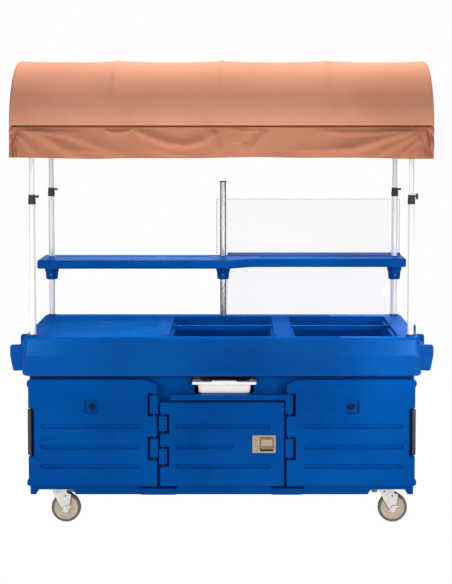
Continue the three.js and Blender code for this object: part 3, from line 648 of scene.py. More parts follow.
def groove(x0, x1, z, h):
    """Long recess with round ends and sloping sides."""
    return loft([(DOOR_F - 4, rrect(x0 - 3, x1 + 3, z - h - 3, z + h + 3, h + 2.9, 8)), (DOOR_F + 0.3, rrect(x0, x1, z - h, z + h, h - 0.1, 8)),
                 (DOOR_F + 10, rrect(x0 + 5, x1 - 5, z - h + 5, z + h - 5, h - 5.1, 8))], "Y")


def door(name, s):
    x, zc = 985, NOTCH
    p = [(-x, 212), (-331, 212), (-331, zc[0][0]), (-377.5, zc[0][0]), (-377.5, zc[0][1]), (-331, zc[0][1]),
         (-331, zc[1][0]), (-377.5, zc[1][0]), (-377.5, zc[1][1]), (-331, zc[1][1]), (-331, 735.5), (-386, 760.5), (-x, 760.5)]
    rr = [9, 5, 5, 5, 5, 5, 5, 5, 5, 5, 7, 12, 10]
    if s > 0:
        p, rr = [(-a, b) for a, b in p][::-1], rr[::-1]
    d = prism("Y", fillet(p, rr, 4), DOOR_F, DOOR_B)
    # small bumper at the lower outer corner
    nub = fillet([(s * 970, 214), (s * 991, 216), (s * 993.4, 224), (s * 993.4, 238), (s * 987, 250), (s * 970, 250)], [0, 4, 4, 4, 4, 0], 3)
    top_nub = fillet([(s * 970, 722), (s * 987, 722), (s * 992, 733), (s * 992, 746), (s * 990, 754), (s * 970, 756)], [0, 4, 4, 4, 4, 0], 3)
    union(d, prism("Y", nub, DOOR_F + 1.5, DOOR_B - 1.5), prism("Y", top_nub, DOOR_F + 1.5, DOOR_B - 1.5))
    bevel(d, 4.2, 4, 60)
    lo, hi = sorted((s * 925, s * 416))
    tools = [groove(lo, hi, z, 12.5) for z in GROOVES_Z]
    lo, hi = sorted((s * 1000, s * 955.5))
    tools.append(prism("Y", rrect(lo, hi, LATCH_Z[0] - 8, LATCH_Z[1] + 8, 5, 3), -392, -340))
    tools.append(cyl("Z", (s * 974, -358), LATCH_Z[0] - 16, LATCH_Z[1] + 16, 3.7, seg=16))
    cx, cz = s * 661, 621.5
    tools.append(loft([(DOOR_F - 4, rrect(cx - 45, cx + 45, cz - 42, cz + 42, 15, 5)), (DOOR_F + 0.4, rrect(cx - 41, cx + 41, cz - 38, cz + 38, 12, 5)),
                       (DOOR_F + 3, rrect(cx - 37.5, cx + 37.5, cz - 34.5, cz + 34.5, 9.5, 5)), (DOOR_F + 12, rrect(cx - 34, cx + 34, cz - 31, cz + 31, 7, 5))], "Y"))
    tools.append(cyl("Y", (cx, cz), DOOR_F - 5, DOOR_F + 22, 8.7, seg=24))
    tools.append(cyl("Z", (HINGE_X[name], HINGE_Y), 325, 712, 4.6, seg=16))
    cut(d, *tools)
    bevel(d, 1.9, 3, 58)
    return finish(d, f"{name}_door_panel", f"{name}_door", BLUE, [f"{name}_door"])


for nm, s in SIDES:
    door(nm, s)


def centre_door():
    n = NOTCH_C
    p = [(-314, 212), (317, 212), (317, 644), (-314, 644), (-314, n[1][1]), (-267.7, n[1][1]), (-267.7, n[1][0]), (-314, n[1][0]),
         (-314, n[0][1]), (-267.7, n[0][1]), (-267.7, n[0][0]), (-314, n[0][0])]
    d = prism("Y", fillet(p, [5, 5, 9, 6, 5, 5, 5, 5, 5, 5, 5, 5], 4), DOOR_F, DOOR_B)
    bevel(d, 4.2, 4, 60)
    tools = [groove(-237, x1, z, 11.5) for x1, z in zip((251, 60, 251), GROOVES_Z)]
    tools += [box(164, 267, DOOR_F - 5, DOOR_B + 5, 393.5, 469.5), cyl("Z", (HINGE_X["center"], HINGE_Y), 290, 604, 4.6, seg=16)]
    cut(d, *tools)
    bevel(d, 1.8, 3, 58)
    return finish(d, "center_door_panel", "center_door", BLUE, ["center_door"])


centre_door()

for nm, s in SIDES:
    # side latch: a grip bar on two trunnions
    outline = fillet([(s * 969.8, -383.8), (s * 989.4, -383.8), (s * 989.4, -352.2), (s * 969.8, -352.2)], [5, 8, 7, 3], 5)
    a, b = LATCH_Z
    bar = bevel(prism("Z", outline, a, b), 3.2, 3, 60)
    bar = union(bar, cyl("Z", (s * 974, -358), a - 7.2, b + 7.2, 3, seg=16))
    finish(bar, f"{nm}_latch_bar", f"{nm}_side_latch", HANDLE, [f"{nm}_side_latch"])
    # round vent cap with a moulded ring and a screwdriver slot
    y = DOOR_F - 2
    cap = lathe([(0, 0.9), (5.2, 0.9), (5.8, 0), (10.5, 0), (11.2, 1), (12.2, 1), (12.9, 0), (14, 0), (15, 0.6), (15.4, 1.7), (15.4, 6.5), (8, 6.5),
                 (8, 20), (0, 20)], 40, "Y", (s * 661, y, 621.5))
    cut(cap, box(s * 661 - 9.5, s * 661 + 9.5, y - 3, y + 2.2, 620, 623))
    finish(cap, f"{nm}_vent_button", f"{nm}_vent_cap", CAP_BLACK, [f"{nm}_vent_cap"], sharp=30)

# -------------------------------------------------------------- paddle latch
x0, x1, z0, z1 = 155.3, 275.8, 384.8, 477.8
flange = bevel(prism("Y", rrect(x0, x1, z0, z1, 6, 6), DOOR_F - 5, DOOR_F - 0.4), 2.2, 4, 50)
case = union(flange, prism("Y", rrect(165, 266, 394.5, 468.5, 4, 4), DOOR_F - 2, DOOR_F + 26))
cut(case, loft([(DOOR_F - 10, rrect(194.5, 263.5, 394.7, 466.5, 5.5, 5)), (DOOR_F - 5, rrect(194.5, 263.5, 394.7, 466.5, 5.5, 5)),
                (DOOR_F - 2.5, rrect(196, 262, 396.2, 465, 4, 5)), (DOOR_F + 22, rrect(196, 262, 396.2, 465, 4, 5))], "Y"),
    cyl("X", (DOOR_F + 8, 457), 192.5, 264.5, 2.6, seg=16), cyl("Y", (180.7, 439.7), DOOR_F - 10, DOOR_F + 20, 7.6, seg=24))
# shallow pressed field round the lock
cut(case, prism("Y", rrect(163.5, 191.5, 393, 469.5, 4, 4), DOOR_F - 9, DOOR_F - 4.1))
bevel(case, 0.7, 2, 50)
finish(case, "latch_case_pressed", "center_door", STEEL, ["paddle_latch_case"])
pad = fillet([(DOOR_F + 5, 402.5), (DOOR_F + 0.5, 402.5), (DOOR_F - 1.5, 406), (DOOR_F + 1.5, 420), (DOOR_F + 1.5, 452), (DOOR_F + 4, 460.8),
              (DOOR_F + 5, 460)], [0, 1, 2, 8, 6, 1, 0], 4)
paddle = bevel(prism("X", pad, 200.5, 258.5), 0.7, 2, 50)
paddle = union(paddle, cyl("X", (DOOR_F + 8, 457), 193.3, 263.7, 2.1, seg=16), box(202, 257, DOOR_F + 3, DOOR_F + 9, 454.8, 459.2))
finish(paddle, "latch_paddle_pressed", "paddle", PADDLE, ["paddle_latch_handle"])
plug = lathe([(0, 0), (6.4, 0), (7.4, 0.5), (9.2, 1.3), (9.2, 4.1), (7, 4.1), (7, 22), (0, 22)], 32, "Y", (180.7, DOOR_F - 9.5, 439.7))
cut(plug, box(180.7 - 0.9, 180.7 + 0.9, DOOR_F - 11, DOOR_F - 6.5, 436.2, 443.2))
finish(plug, "lock_plug", "lock_cylinder", CHROME, ["lock_cylinder"], sharp=30)
for i, (px, pz) in enumerate(((171, 399.5), (171, 463), (184, 399.5), (184, 463))):
    rv = lathe([(0, 0), (1.4, 0.1), (2.3, 0.6), (2.6, 1.2), (2.6, 3), (0, 3)], 16, "Y", (px, DOOR_F - 5.1, pz))
    finish(rv, f"latch_rivet_{i + 1}", "center_door", STEEL, weighted=False)

# ------------------------------------------------------------- slide-out pan


def pan():
    cx, w, bw, y0, ln, z0, rim0, rim1 = 12.4, 328, 275, -384, 530, 682.2, 735, 749
    y1, by0, by1 = y0 + ln, y0 + (w - bw) / 2, y0 + ln - (w - bw) / 2

    def lay(i, z, r):
        return (z, rrect(cx - bw / 2 + i, cx + bw / 2 - i, by0 + i, by1 - i, r, 8))
    body = loft([lay(18, z0, 16), lay(12, z0 + 1.2, 18), lay(8, z0 + 4, 20), lay(5.6, z0 + 9, 21), lay(0, rim1 - 4, 24)])
    rim = bevel(prism("Z", rrect(cx - w / 2, cx + w / 2, y0, y1, 14, 6), rim0, rim1), 3, 4, 50)
    grip = prism("Y", fillet([(-58, rim1 - 5), (80, rim1 - 5), (74, 754.5), (-50, 754.5)], [0, 0, 4, 4], 4), y0 + 0.5, y0 + 24)
    union(body, rim, bevel(grip, 1.8, 2, 60))
    under = prism("Z", rrect(cx - w / 2 + 3, cx + w / 2 - 3, y0 + 3, y1 - 3, 11, 6), rim0 - 5, rim1 - 3)
    cut(under, loft([lay(0, rim0 - 8, 24), lay(0, rim1 + 2, 24)]))
    inner = loft([lay(21, z0 + 3, 14), lay(14, z0 + 4.4, 17), lay(10, z0 + 8, 19), lay(8, z0 + 13, 20), lay(3, rim1 + 5, 24)])
    cut(body, under, inner)
    bevel(body, 1.1, 2, 45)
    return finish(body, "sliding_pan", "pan", WHITE, ["slide_out_pan"])


pan()
for nm, s in SIDES:
    wall, inn = 12.4 + s * 175.6, 12.4 + s * 143.5
    lo, hi = min(wall, inn), max(wall, inn)
    a, b = (lo, lo + 3.4) if s < 0 else (hi - 3.4, hi)
    rail = bevel(union(box(lo, hi, -317, 190, 729.5, 733.5), box(a, b, -317, 190, 729.5, 764)), 0.8, 2, 50)
    finish(rail, f"pan_rail_{nm}", "cart", ZINC, [f"pan_runner_{nm}"])

# --------------------------------------------------------------------- posts
for nm, sx, sy in CORNERS:
    at = (sx * POST_X, sy * POST_Y, 0)
    prof = [(14.4, 931), (16, 931), (16, 1673), (14.4, 1673)]
    if sy > 0:  # joint ring just above the overshelf
        prof = [(14.4, 931), (16, 931), (16, 1318), (16.35, 1318.6), (16.35, 1349.6), (15.6, 1350.2), (15.6, 1351.4), (16, 1352), (16, 1673), (14.4, 1673)]
    finish(lathe(prof, 40, "Z", at), f"tube_lower_{nm}", "cart", ALU, [f"post_{nm}"], sharp=30)
    tube = lathe([(12, 1352), (13, 1352), (13.4, 1352.5), (13.4, 2043.5), (13, 2044), (12, 2044)], 40, "Z", at)
    finish(tube, f"tube_upper_{nm}", "canopy", ALU, [f"canopy_tube_{nm}"], sharp=30)
    col = lathe([(16.5, 980.4), (24, 980.4), (24.5, 981), (24.5, 984.5), (23.6, 986.2), (20, 988.4), (18.2, 989.5), (16.5, 989.5)], 40, "Z", at)
    finish(col, f"collar_ring_{nm}", "cart", COLLAR, [f"post_collar_{nm}"], sharp=50)
    z0, z1 = 1653, 1700.5
    clamp = lathe([(0, z0), (18.6, z0), (19.2, z0 + 0.8), (19.2, z0 + 25), (17.6, z0 + 29), (17.6, z1 - 0.8), (17, z1), (0, z1)], 40, "Z", at)
    # vertical flutes and the pinch slot of the sleeve
    tools = [cyl("Z", at, z0 - 2, 1674, 17, seg=32), cyl("Z", at, z0 - 2, z1 + 2, 14.3, seg=32),
             cyl("X", (at[1], 1692), at[0] + 5, at[0] + 30, 4.2, seg=16)]
    for k in range(14):
        a = 2 * math.pi * (k + 0.5) / 14
        tools.append(cyl("Z", (at[0] + 20.1 * math.cos(a), at[1] + 20.1 * math.sin(a)), z0 + 3, z0 + 23, 1.5, seg=8))
    cut(clamp, *tools)
    finish(clamp, f"clamp_sleeve_{nm}", "cart", BLACK, [f"post_clamp_{nm}"], sharp=35)
    wing = [(-14.5, -4), (-11.5, -6.2), (0, -7), (11.5, -6.2), (14.5, -4), (14.5, 4), (11.5, 6.2), (0, 7), (-11.5, 6.2), (-14.5, 4)]
    knob = bevel(prism("X", wing, 21.5, 34), 1.6, 3, 40)
    knob = union(knob, cyl("X", (0, 0), 15, 24, 3.6, seg=16))
    if nm == "front_right":
        knob.data.transform(Matrix.Rotation(rad(90), 4, "X"))
    move(knob, at[0], at[1], 1692)
    finish(knob, f"wing_knob_{nm}", f"knob_{nm}", BLACK, [f"clamp_knob_{nm}"])
cp = lathe([(14, 931), (16.5, 931), (16.5, 1730.6), (19.2, 1730.8), (19.8, 1731.5), (19.8, 1736.6), (18.4, 1738.2), (0, 1738.4), (0, 1726), (14, 1726)], 40, "Z",
           (0, POST_Y, 0))
cp = finish(cp, "chrome_center_post", "cart", [CHROME, DARK_STEEL], ["center_post"], sharp=35, weighted=False)
for p in cp.data.polygons:
    p.material_index = 1 if p.center.z > 1.7306 else 0

# ----------------------------------------------------------------- overshelf


def shelf():
    def edge(x):
        t = min(1, max(0, (x - 10) / 175))
        return 105 + 85 * (t * t * (3 - 2 * t))
    front = [(10 + 175 * i / 18, edge(10 + 175 * i / 18)) for i in range(19)]

    def corner(cx, cy, r, a0, n=7):
        return [(cx + r * math.cos(rad(a0 + 90 * i / n)), cy + r * math.sin(rad(a0 + 90 * i / n))) for i in range(n + 1)]
    pts = corner(-1010 + 16, 105 + 16, 16, 180) + front + corner(1010 - 16, 190 + 16, 16, 270) + corner(996, 396, 14, 0) + corner(-996, 396, 14, 90)
    body = bevel(prism("Z", pts, 1270, 1317), 9, 5, 60)
    lip = bevel(prism("X", [(374, 1314), (404, 1314), (404, 1331), (374, 1331)], 24, 1000), 3, 3, 60)
    # long shallow dish along the top
    body = union(body, lip)
    for x in (-POST_X, 0, POST_X):
        sock = lathe([(0, 1187), (30.5, 1187), (32, 1188.5), (35, 1222), (35.6, 1228), (37.6, 1232), (39.6, 1239), (40.6, 1250), (41, 1262), (44, 1271), (44, 1274), (0, 1274)],
                     40, "Z", (x, POST_Y, 0))
        union(body, sock)
    tools = [cyl("Z", (x, POST_Y), 1180, 1340, 16.9 if x else 17.4, seg=32) for x in (-POST_X, 0, POST_X)]
    tools.append(box(16, 946.5, 344.4, 351.6, 1180, 1269.9))
    for x0, x1, y0 in ((-938, -55, 128), (196, 932, 212)):
        tools.append(loft([(1314.2, rrect(x0 + 5, x1 - 5, y0 + 5, 325, 10, 5)), (1317.2, rrect(x0, x1, y0, 330, 14, 5)), (1322, rrect(x0 - 2, x1 + 2, y0 - 2, 332, 15, 5))]))
    # a vertical flute down the front of each socket
    for x in (-POST_X, 0, POST_X):
        for dx in (-19, 19):
            tools.append(cyl("Z", (x + dx, POST_Y - 34.5), 1180, 1226, 3.2, seg=12))
    cut(body, *tools)
    bevel(body, 1.3, 2, 50)
    body = finish(body, "overshelf_moulding", "cart", [BLUE, BLUE_SHELF_PAINTED_LIGHT], ["overshelf"])
    # upward faces take the lighter blue copy: painted light on the shelf top
    for p in body.data.polygons:
        if p.normal.z > 0.85:
            p.material_index = 1
    return body


shelf()


def screw(name, body, at, axis, sign, r=4.2, h=2.2, material=None):
    """Pan head with a hex socket."""
    dome = [(0, 0), (r, 0), (r, h * 0.4), (r * 0.8, h * 0.85), (r * 0.4, h), (0, h)]
    o = lathe(dome, 20, "Z")
    cut(o, lathe([(0, h * 0.35), (r * 0.42, h * 0.35), (r * 0.42, h * 1.6), (0, h * 1.6)], 6, "Z"))
    turn = {"Y": Matrix.Rotation(rad(90 * (1 if sign < 0 else -1)), 4, "X"), "X": Matrix.Rotation(rad(90 * (1 if sign > 0 else -1)), 4, "Y"),
            "Z": Matrix.Rotation(rad(0 if sign > 0 else 180), 4, "X")}[axis]
    o.data.transform(Matrix.Translation(at) @ turn)
    return finish(o, name, body, material or CHROME, weighted=False, sharp=35)


for i, x in enumerate((-POST_X, 0, POST_X)):
    screw(f"shelf_set_screw_{i + 1}", "cart", (x, POST_Y - 35.2, 1213), "Y", -1, 3.4, 2)


def guard(name, pts, y0, y1, node):
    o = prism("Y", pts, y0, y1)
    bevel(o, 0.8, 2, 60)
    bm = bmesh.new()
    bm.from_mesh(o.data)
    wide = [f for f in bm.faces if abs(f.normal.y) > 0.99 and f.calc_area() > 50000]
    # the sheet's edges and a 2.6 mm band round each wide face get the grey painted shade
    edge_shade_margin = bmesh.ops.inset_individual(bm, faces=wide, thickness=2.6)["faces"]
    foot = min(v.co.z for v in bm.verts) + 8
    for f in bm.faces:
        f.material_index = 1 if (abs(f.normal.y) < 0.9 or f in edge_shade_margin) and f.calc_center_median().z > foot else 0
    bm.to_mesh(o.data)
    bm.free()
    side = [f.material_index for f in o.data.polygons]
    o = finish(o, name, "cart", [CLEAR, CLEAR_EDGE_SHADE], [node], weighted=False)
    for f, i in zip(o.data.polygons, side):
        f.material_index = i
    return o


guard("guard_sheet_upper", rrect(-38, 993, 1317.4, 1637, 10, 6), 364.9, 370.9, "upper_guard_panel")
guard("guard_sheet_lower", fillet([(19, 980.4), (936.8, 980.4), (936.8, 990.5), (943.5, 990.5), (943.5, 1269.4), (19, 1269.4)], [4, 2, 2, 2, 4, 4], 4),
      345, 351, "lower_guard_panel")
for i, (x, z) in enumerate(((0, 1619), (0, 1351), (962, 1619), (962, 1351))):
    screw(f"guard_screw_{i + 1}", "cart", (x, 371, z), "Y", 1, 5.2, 3)

# -------------------------------------------------------------------- canopy
HOOPS = (-1053, -552, 0, 552, 1053)


def canopy_frame():
    parts = []
    for x in HOOPS:
        path = [(x, -352 * math.cos(math.pi * i / 40), 2052 + 318 * math.sin(math.pi * i / 40)) for i in range(41)]
        parts.append(sweep(path, 9.5, 12))
    for y in (-352, 352):
        parts.append(lathe([(0, -1062), (9, -1062), (10, -1061), (10, 1061), (9, 1062), (0, 1062)], 20, "X", (0, y, 2052)))
    for _, sx, sy in CORNERS:
        parts.append(lathe([(0, 2006), (17, 2006), (17.6, 2006.6), (17.6, 2057.4), (17, 2058), (0, 2058)], 28, "Z", (sx * POST_X, sy * POST_Y, 0)))
    f = parts[0]
    union(f, *parts[1:])
    cut(f, *[cyl("Z", (sx * POST_X, sy * POST_Y), 2000, 2045, 14.2, seg=24) for _, sx, sy in CORNERS])
    return finish(f, "canopy_hoops_and_rails", "canopy", ALU, ["canopy_frame"], sharp=40)


canopy_frame()
for nm, sx, sy in CORNERS:
    screw(f"socket_screw_{nm}", "canopy", (sx * (POST_X - 17.2), sy * POST_Y, 2024), "X", -sx, 4, 2.4)

AY, EAVE, TOP, HEM = 377.0, 2050.0, 2392.0, 1888.0
XE = 1072.0
random.seed(7)
rng = np.random.default_rng(7)


def smooth(t):
    t = np.clip(t, 0, 1)
    return t * t * (3 - 2 * t)


def ridge(x, z, line, amp, width, up=2.1, low=0.95):
    """Soft fold along a polyline, in the valance's own (x, z) plane: a long slope down to a crisp turn under the crest."""
    best = np.full(x.shape, 1e9)
    side = np.zeros(x.shape)
    fade = np.zeros(x.shape)
    total = sum(math.dist(a, b) for a, b in zip(line, line[1:]))
    run = 0.0
    for a, b in zip(line, line[1:]):
        ax, az = a
        dx, dz = b[0] - ax, b[1] - az
        ln = math.hypot(dx, dz)
        t = np.clip(((x - ax) * dx + (z - az) * dz) / (ln * ln), 0, 1)
        d = np.hypot(x - ax - t * dx, z - az - t * dz)
        near = d < best
        best = np.where(near, d, best)
        side = np.where(near, (dz * (x - ax) - dx * (z - az)) / ln * (1 if dx >= 0 else -1), side)
        fade = np.where(near, (run + t * ln) / total, fade)
        run += ln
    ends = smooth(fade * 5) * smooth((1 - fade) * 3.2) * 0.75 + 0.25
    w = 1.35 * width * np.where(side > 0, low, up)
    return 1.45 * amp * ends * np.exp(-(best / w) ** 2 / 2)


def px(p):
    """Place on the front valance from the level view's layout."""
    return ((p[0] - 237) / 0.1965 + 78, 2185 - (p[1] - 99.5) / 0.1965)


FOLDS = [  # polyline, height, half width (mm)
    ([(22, 128), (43, 136.5), (66, 149.5), (90, 158)], 15, 9),
    ([(20, 134), (31, 146), (40, 158)], 9, 7),
    ([(28, 128.5), (72, 136), (95, 145), (125, 152)], 8, 8),
    ([(80, 150), (110, 153), (135, 158)], 5, 6),
    ([(104, 128), (114, 133.5), (126, 132.5), (136, 128)], 10, 4.5),
    ([(134, 128.5), (150, 137.5), (167, 143.5), (185, 146), (203, 141.5), (213, 134)], 14, 7.5),
    ([(150, 150), (176, 154), (200, 157)], 5, 7),
    ([(213, 129), (215, 142), (219, 158)], 9, 6),
    ([(246, 129.5), (240, 143), (243, 157)], 6, 8),
    ([(268, 129), (259, 141), (250, 156)], 10, 6.5),
    ([(225, 128.5), (250, 131.5), (268, 128.5)], 5, 4),
    ([(418, 127.5), (386, 138), (354, 149), (322, 155)], 14, 8.5),
    ([(420, 131), (396, 144), (372, 158)], 10, 7.5),
    ([(421, 135), (409, 147), (398, 158)], 8, 6),
    ([(404, 129), (376, 133), (345, 134), (318, 131)], 7, 6),
    ([(290, 151), (322, 150.5), (356, 147)], 5, 6.5),
    ([(421, 138), (417, 148), (415, 158)], 8, 5),
]


def corner_bunch(x, z, side):
    """Gathered fabric at an end corner: deep crooked pleats."""
    e = XE - x * side  # distance from the end
    down = np.clip((EAVE - z) / (EAVE - HEM), 0, 1)
    env = smooth((72 - e) / 30) * smooth(down * 6)
    k = 1.0 if side > 0 else 0.0
    pleats = np.zeros_like(e)
    for e0, swing, rate, depth, width, a, b in ((11, 3.5, 8.0, 9, 2.6, 0.15, 1.0), (21, 5.0, 6.0, 13, 3.4, 0.28, 1.0), (33, 5.5, 7.2, 9, 3.0, 0.1, 0.72),
                                                (45, 6.0, 5.0, 7, 3.6, 0.3, 1.0)):
        line = e0 + swing * np.sin(down * rate + e0 + k * 2.1) - 6 * (down - 0.5)
        reach = smooth((down - a) * 9) * smooth((b + 0.12 - down) * 9)
        pleats += depth * reach * np.exp(-((e - line) / width) ** 2)
    lobes = 4.0 * np.sin(e / 9.0 + down * 7.5 + side) + 3.5 * np.sin(down * 13 + e / 17.0)
    return env * (7.0 + lobes - 1.25 * pleats)


def wrinkle(x, z, front, quiet=False):
    """How far the valance stands out from its plane, mm."""
    down = np.clip((EAVE - 6 - z) / (EAVE - HEM), 0, 1)
    hang = smooth(down * 6)
    if front:
        d = sum(ridge(x, z, [px(p) for p in line], amp, w) for line, amp, w in FOLDS)
        d = d + 1.6 * np.sin(x / 96.0 + z / 60.0) + 1.1 * np.sin(x / 41.0 - z / 35.0 + 2)
    else:
        d = 3.4 + 3.0 * np.sin(x / 118.0 + 0.4) * np.sin(z / 75.0) + 1.9 * np.sin(x / 53.0 + z / 48.0 + 1)
        for k in range(11):
            cx = -1000 + 200 * k + 34 * math.sin(k * 2.3)
            slope = 46 * math.sin(k * 1.7)
            d = d + ridge(x, z, [(cx, 2040), (cx + slope, 1890)], 3.6 + 1.4 * math.cos(k), 11)
    d = d + np.where(x < 0, corner_bunch(x, z, -1), corner_bunch(x, z, 1))
    return d * hang


def sag(x, t):
    """Inward sag between hoops; t runs 0..1..0 over the arch."""
    s = np.zeros_like(x)
    xs = (-1072, -552, 0, 552, 1072)
    for a, b in zip(xs, xs[1:]):
        q = (x - a) / (b - a)
        inside = (q >= 0) & (q <= 1)
        s = np.where(inside, np.clip(4 * q * (1 - q), 0, 1) ** 0.72, s)
    seam = sum(np.exp(-((x - c) / 11.0) ** 2) for c in xs[1:4])
    return 8.0 * s * t - 1.5 * seam * np.clip(t * 1.4, 0, 1)


def canopy():
    # profile rows from the front hem over the arch to the rear hem: (kind, y, z, t)
    rows = []
    hem_rows = [0, 2.2, 4.4, 10, 17, 20, 22.5, 27]
    zs = [HEM + h for h in hem_rows] + list(np.linspace(HEM + 32, EAVE - 12, 25))
    for z in zs:
        rows.append(("valance", -AY - 2.5 * (EAVE - z) / (EAVE - HEM) - 0.5, z, 0.0))
    groove = [(-AY - 0.4, EAVE - 8.6), (-AY + 1.0, EAVE - 7.0), (-AY + 4.5, EAVE - 6.2), (-AY + 9.5, EAVE - 5.4), (-AY + 11.6, EAVE - 3.2), (-AY + 11.6, EAVE + 0.4),
              (-AY + 9.0, EAVE + 2.2), (-AY + 4.0, EAVE + 3.0), (-AY + 0.8, EAVE + 3.8), (-AY - 0.4, EAVE + 5.4)]
    for y, z in groove:
        rows.append(("groove", y, z, 0.0))
    n = 52
    for i in range(n + 1):
        a = rad(2.3) + (math.pi - 2 * rad(2.3)) * i / n
        rows.append(("arch", -AY * math.cos(a), EAVE + (TOP - EAVE) * math.sin(a), math.sin(a)))
    rows += [(k, -y, z, t) for k, y, z, t in rows[:len(zs) + len(groove)][::-1]]
    R = len(rows)
    ys = np.array([r[1] for r in rows])
    zz = np.array([r[2] for r in rows])
    tt = np.array([r[3] for r in rows])
    # columns: close together near the ends, where the fabric is gathered
    end = list(np.linspace(0, 96, 37))
    mid = list(np.linspace(96, 2 * XE - 96 - 24, 236))[1:-1]
    cols = [-(XE - 12) + e for e in end] + [-(XE - 12) + m for m in mid] + [(XE - 12) - e for e in end[::-1]]
    xs = np.array(cols)
    C = len(xs)
    X, _ = np.meshgrid(xs, ys)
    Y = np.repeat(ys[:, None], C, 1)
    Z = np.repeat(zz[:, None], C, 1)
    T = np.repeat(tt[:, None], C, 1)
    # outward direction of the profile
    ny, nz = np.where(T > 0, Y / AY ** 2, np.sign(Y)), np.where(T > 0, (Z - EAVE) / (TOP - EAVE) ** 2, 0)
    ln = np.hypot(ny, nz)
    ny, nz = ny / ln, nz / ln
    out = -sag(X, T ** 0.8)
    # slow billow and creases near the end hoops
    out = out + np.where(T > 0, 0.9 * np.sin(X / 190.0 + T * 3) * T * (1 - T) * 4, 0)
    val = T <= 0
    w_front, w_rear = wrinkle(X, Z, True), wrinkle(X, Z, False)
    out = out + np.where(val & (Y < 0), w_front, 0) + np.where(val & (Y > 0), w_rear, 0)
    # keep clear of the guard and clamps behind it
    out = np.where(val & (Y > 0), np.maximum(out, -1.5), np.maximum(out, -7.0))
    out = np.where(val & (np.abs(Z - EAVE) < 10), 0, out)
    # sewn hem and its stitched step
    hem = np.clip((HEM + 22.5 - Z) / 1.5, 0, 1) * 0.9 + np.exp(-((Z - HEM) / 3.2) ** 2) * 1.1
    out = out + np.where(val, hem, 0)
    # the hem line itself rises and falls a little
    drop_z = np.where(val, (1 - np.clip((Z - HEM) / 130, 0, 1)) * (3.0 * np.sin(X / 260.0 + 0.6) + 1.6 * np.sin(X / 88.0)), 0)
    Yd, Zd = Y + ny * out, Z + nz * out + drop_z
    verts = [(X[r, c], Yd[r, c], Zd[r, c]) for r in range(R) for c in range(C)]
    faces = [(r * C + c, r * C + c + 1, (r + 1) * C + c + 1, (r + 1) * C + c) for r in range(R - 1) for c in range(C - 1)]
    arc = np.concatenate([[0], np.cumsum(np.hypot(np.diff(ys), np.diff(zz)))]) / 1000
    uvs = [(X[r, c] / 1000, arc[r]) for r in range(R) for c in range(C)]
    # rolled edge and flat end panel at each side
    for s in (-1, 1):
        base = [r * C + (0 if s < 0 else C - 1) for r in range(R)]
        edge = [verts[i] for i in base]
        prev = base
        steps = [(12 * math.sin(rad(a)), 12 * (1 - math.cos(rad(a))), 0.0) for a in (18, 36, 54, 72, 90)]
        steps += [(12, 12, q) for q in (0.03, 0.065, 0.105, 0.15, 0.2, 0.26, 0.33, 0.42, 0.52, 0.64, 0.76, 0.88, 1.0)]
        for si, (dx, inset, q) in enumerate(steps):
            row = []
            for r in range(R):
                x, y, z = edge[r]
                k = 1 if T[r, 0] > 0 else 0
                nyr, nzr = ny[r, 0], nz[r, 0]
                y2, z2 = y - nyr * inset, z - nzr * inset
                y3 = y2 * (1 - q)
                xx = s * (XE - 12 + dx)
                down = (EAVE - 6 - z2) / (EAVE - HEM)
                if q > 0 or dx > 6:
                    amt = smooth(np.array(min(1.0, q * 6)))
                    if down > 0:  # end valance folds
                        hang = float(smooth(np.array(down * 5)))
                        f = 3.2 * math.sin(y3 / 44.0 + s) + 2.4 * math.sin(y3 / 21.0 + z2 / 55.0) * math.exp(-(abs(abs(y3) - 300) / 90.0) ** 2)
                        xx += s * float(amt) * hang * f
                    else:  # the arch panel hangs a little slack
                        xx -= s * float(amt) * 5.0 * math.sin(math.pi * min(1, max(0, (z2 - EAVE) / (TOP - EAVE)))) ** 0.7 * (1 - (abs(y3) / AY) ** 2)
                row.append(len(verts))
                verts.append((xx, y3, z2))
                uvs.append((s * (XE + dx + q * abs(y)) / 1000, z2 / 1000))
            for r in range(R - 1):
                a, b, c, d = prev[r], prev[r + 1], row[r + 1], row[r]
                faces.append((a, b, c, d) if s < 0 else (d, c, b, a))
            prev = row
    me = bpy.data.meshes.new("canopy_sheet")
    me.from_pydata([tuple(v) for v in verts], [], faces)
    layer = me.uv_layers.new(name="cloth")
    idx = np.zeros(len(me.loops), int)
    me.loops.foreach_get("vertex_index", idx)
    layer.data.foreach_set("uv", np.array(uvs, np.float32)[idx].ravel())
    bm = bmesh.new()
    bm.from_mesh(me)
    bmesh.ops.remove_doubles(bm, verts=bm.verts, dist=0.05)
    bmesh.ops.dissolve_degenerate(bm, edges=bm.edges, dist=0.02)
    bmesh.ops.recalc_face_normals(bm, faces=bm.faces)
    bm.faces.ensure_lookup_table()
    top = max(bm.faces, key=lambda f: f.calc_center_median().z)
    if top.normal.z < 0:
        bmesh.ops.reverse_faces(bm, faces=bm.faces)
    bm.to_mesh(me)
    bm.free()
    o = bpy.data.objects.new("canopy_sheet", me)
    COLL.objects.link(o)
    area = sum(p.area for p in me.polygons) / 1e6
    m = o.modifiers.new("solid", "SOLIDIFY")
    m.thickness, m.offset, m.use_even_offset = 1.3, -1, False
    bake(o)
    o = finish(o, "canopy_sheet", "canopy", [CANVAS, EAVE_SHADOW_TAPE], ["canopy_cover"], sharp=80, weighted=False)
    # painted shadow: the recess along each eave takes a dark tape colour standing in for its shade
    for p in o.data.polygons:
        c = p.center
        if EAVE - 7.0 < c.z * 1000 < EAVE + 3.4 and 300 < abs(c.y) * 1000 < AY - 2.5 and abs(c.x) * 1000 < XE - 14:
            p.material_index = 1
    return o, area, (Yd, Zd, X, rows, C, R)


sheet, sheet_area, grid = canopy()


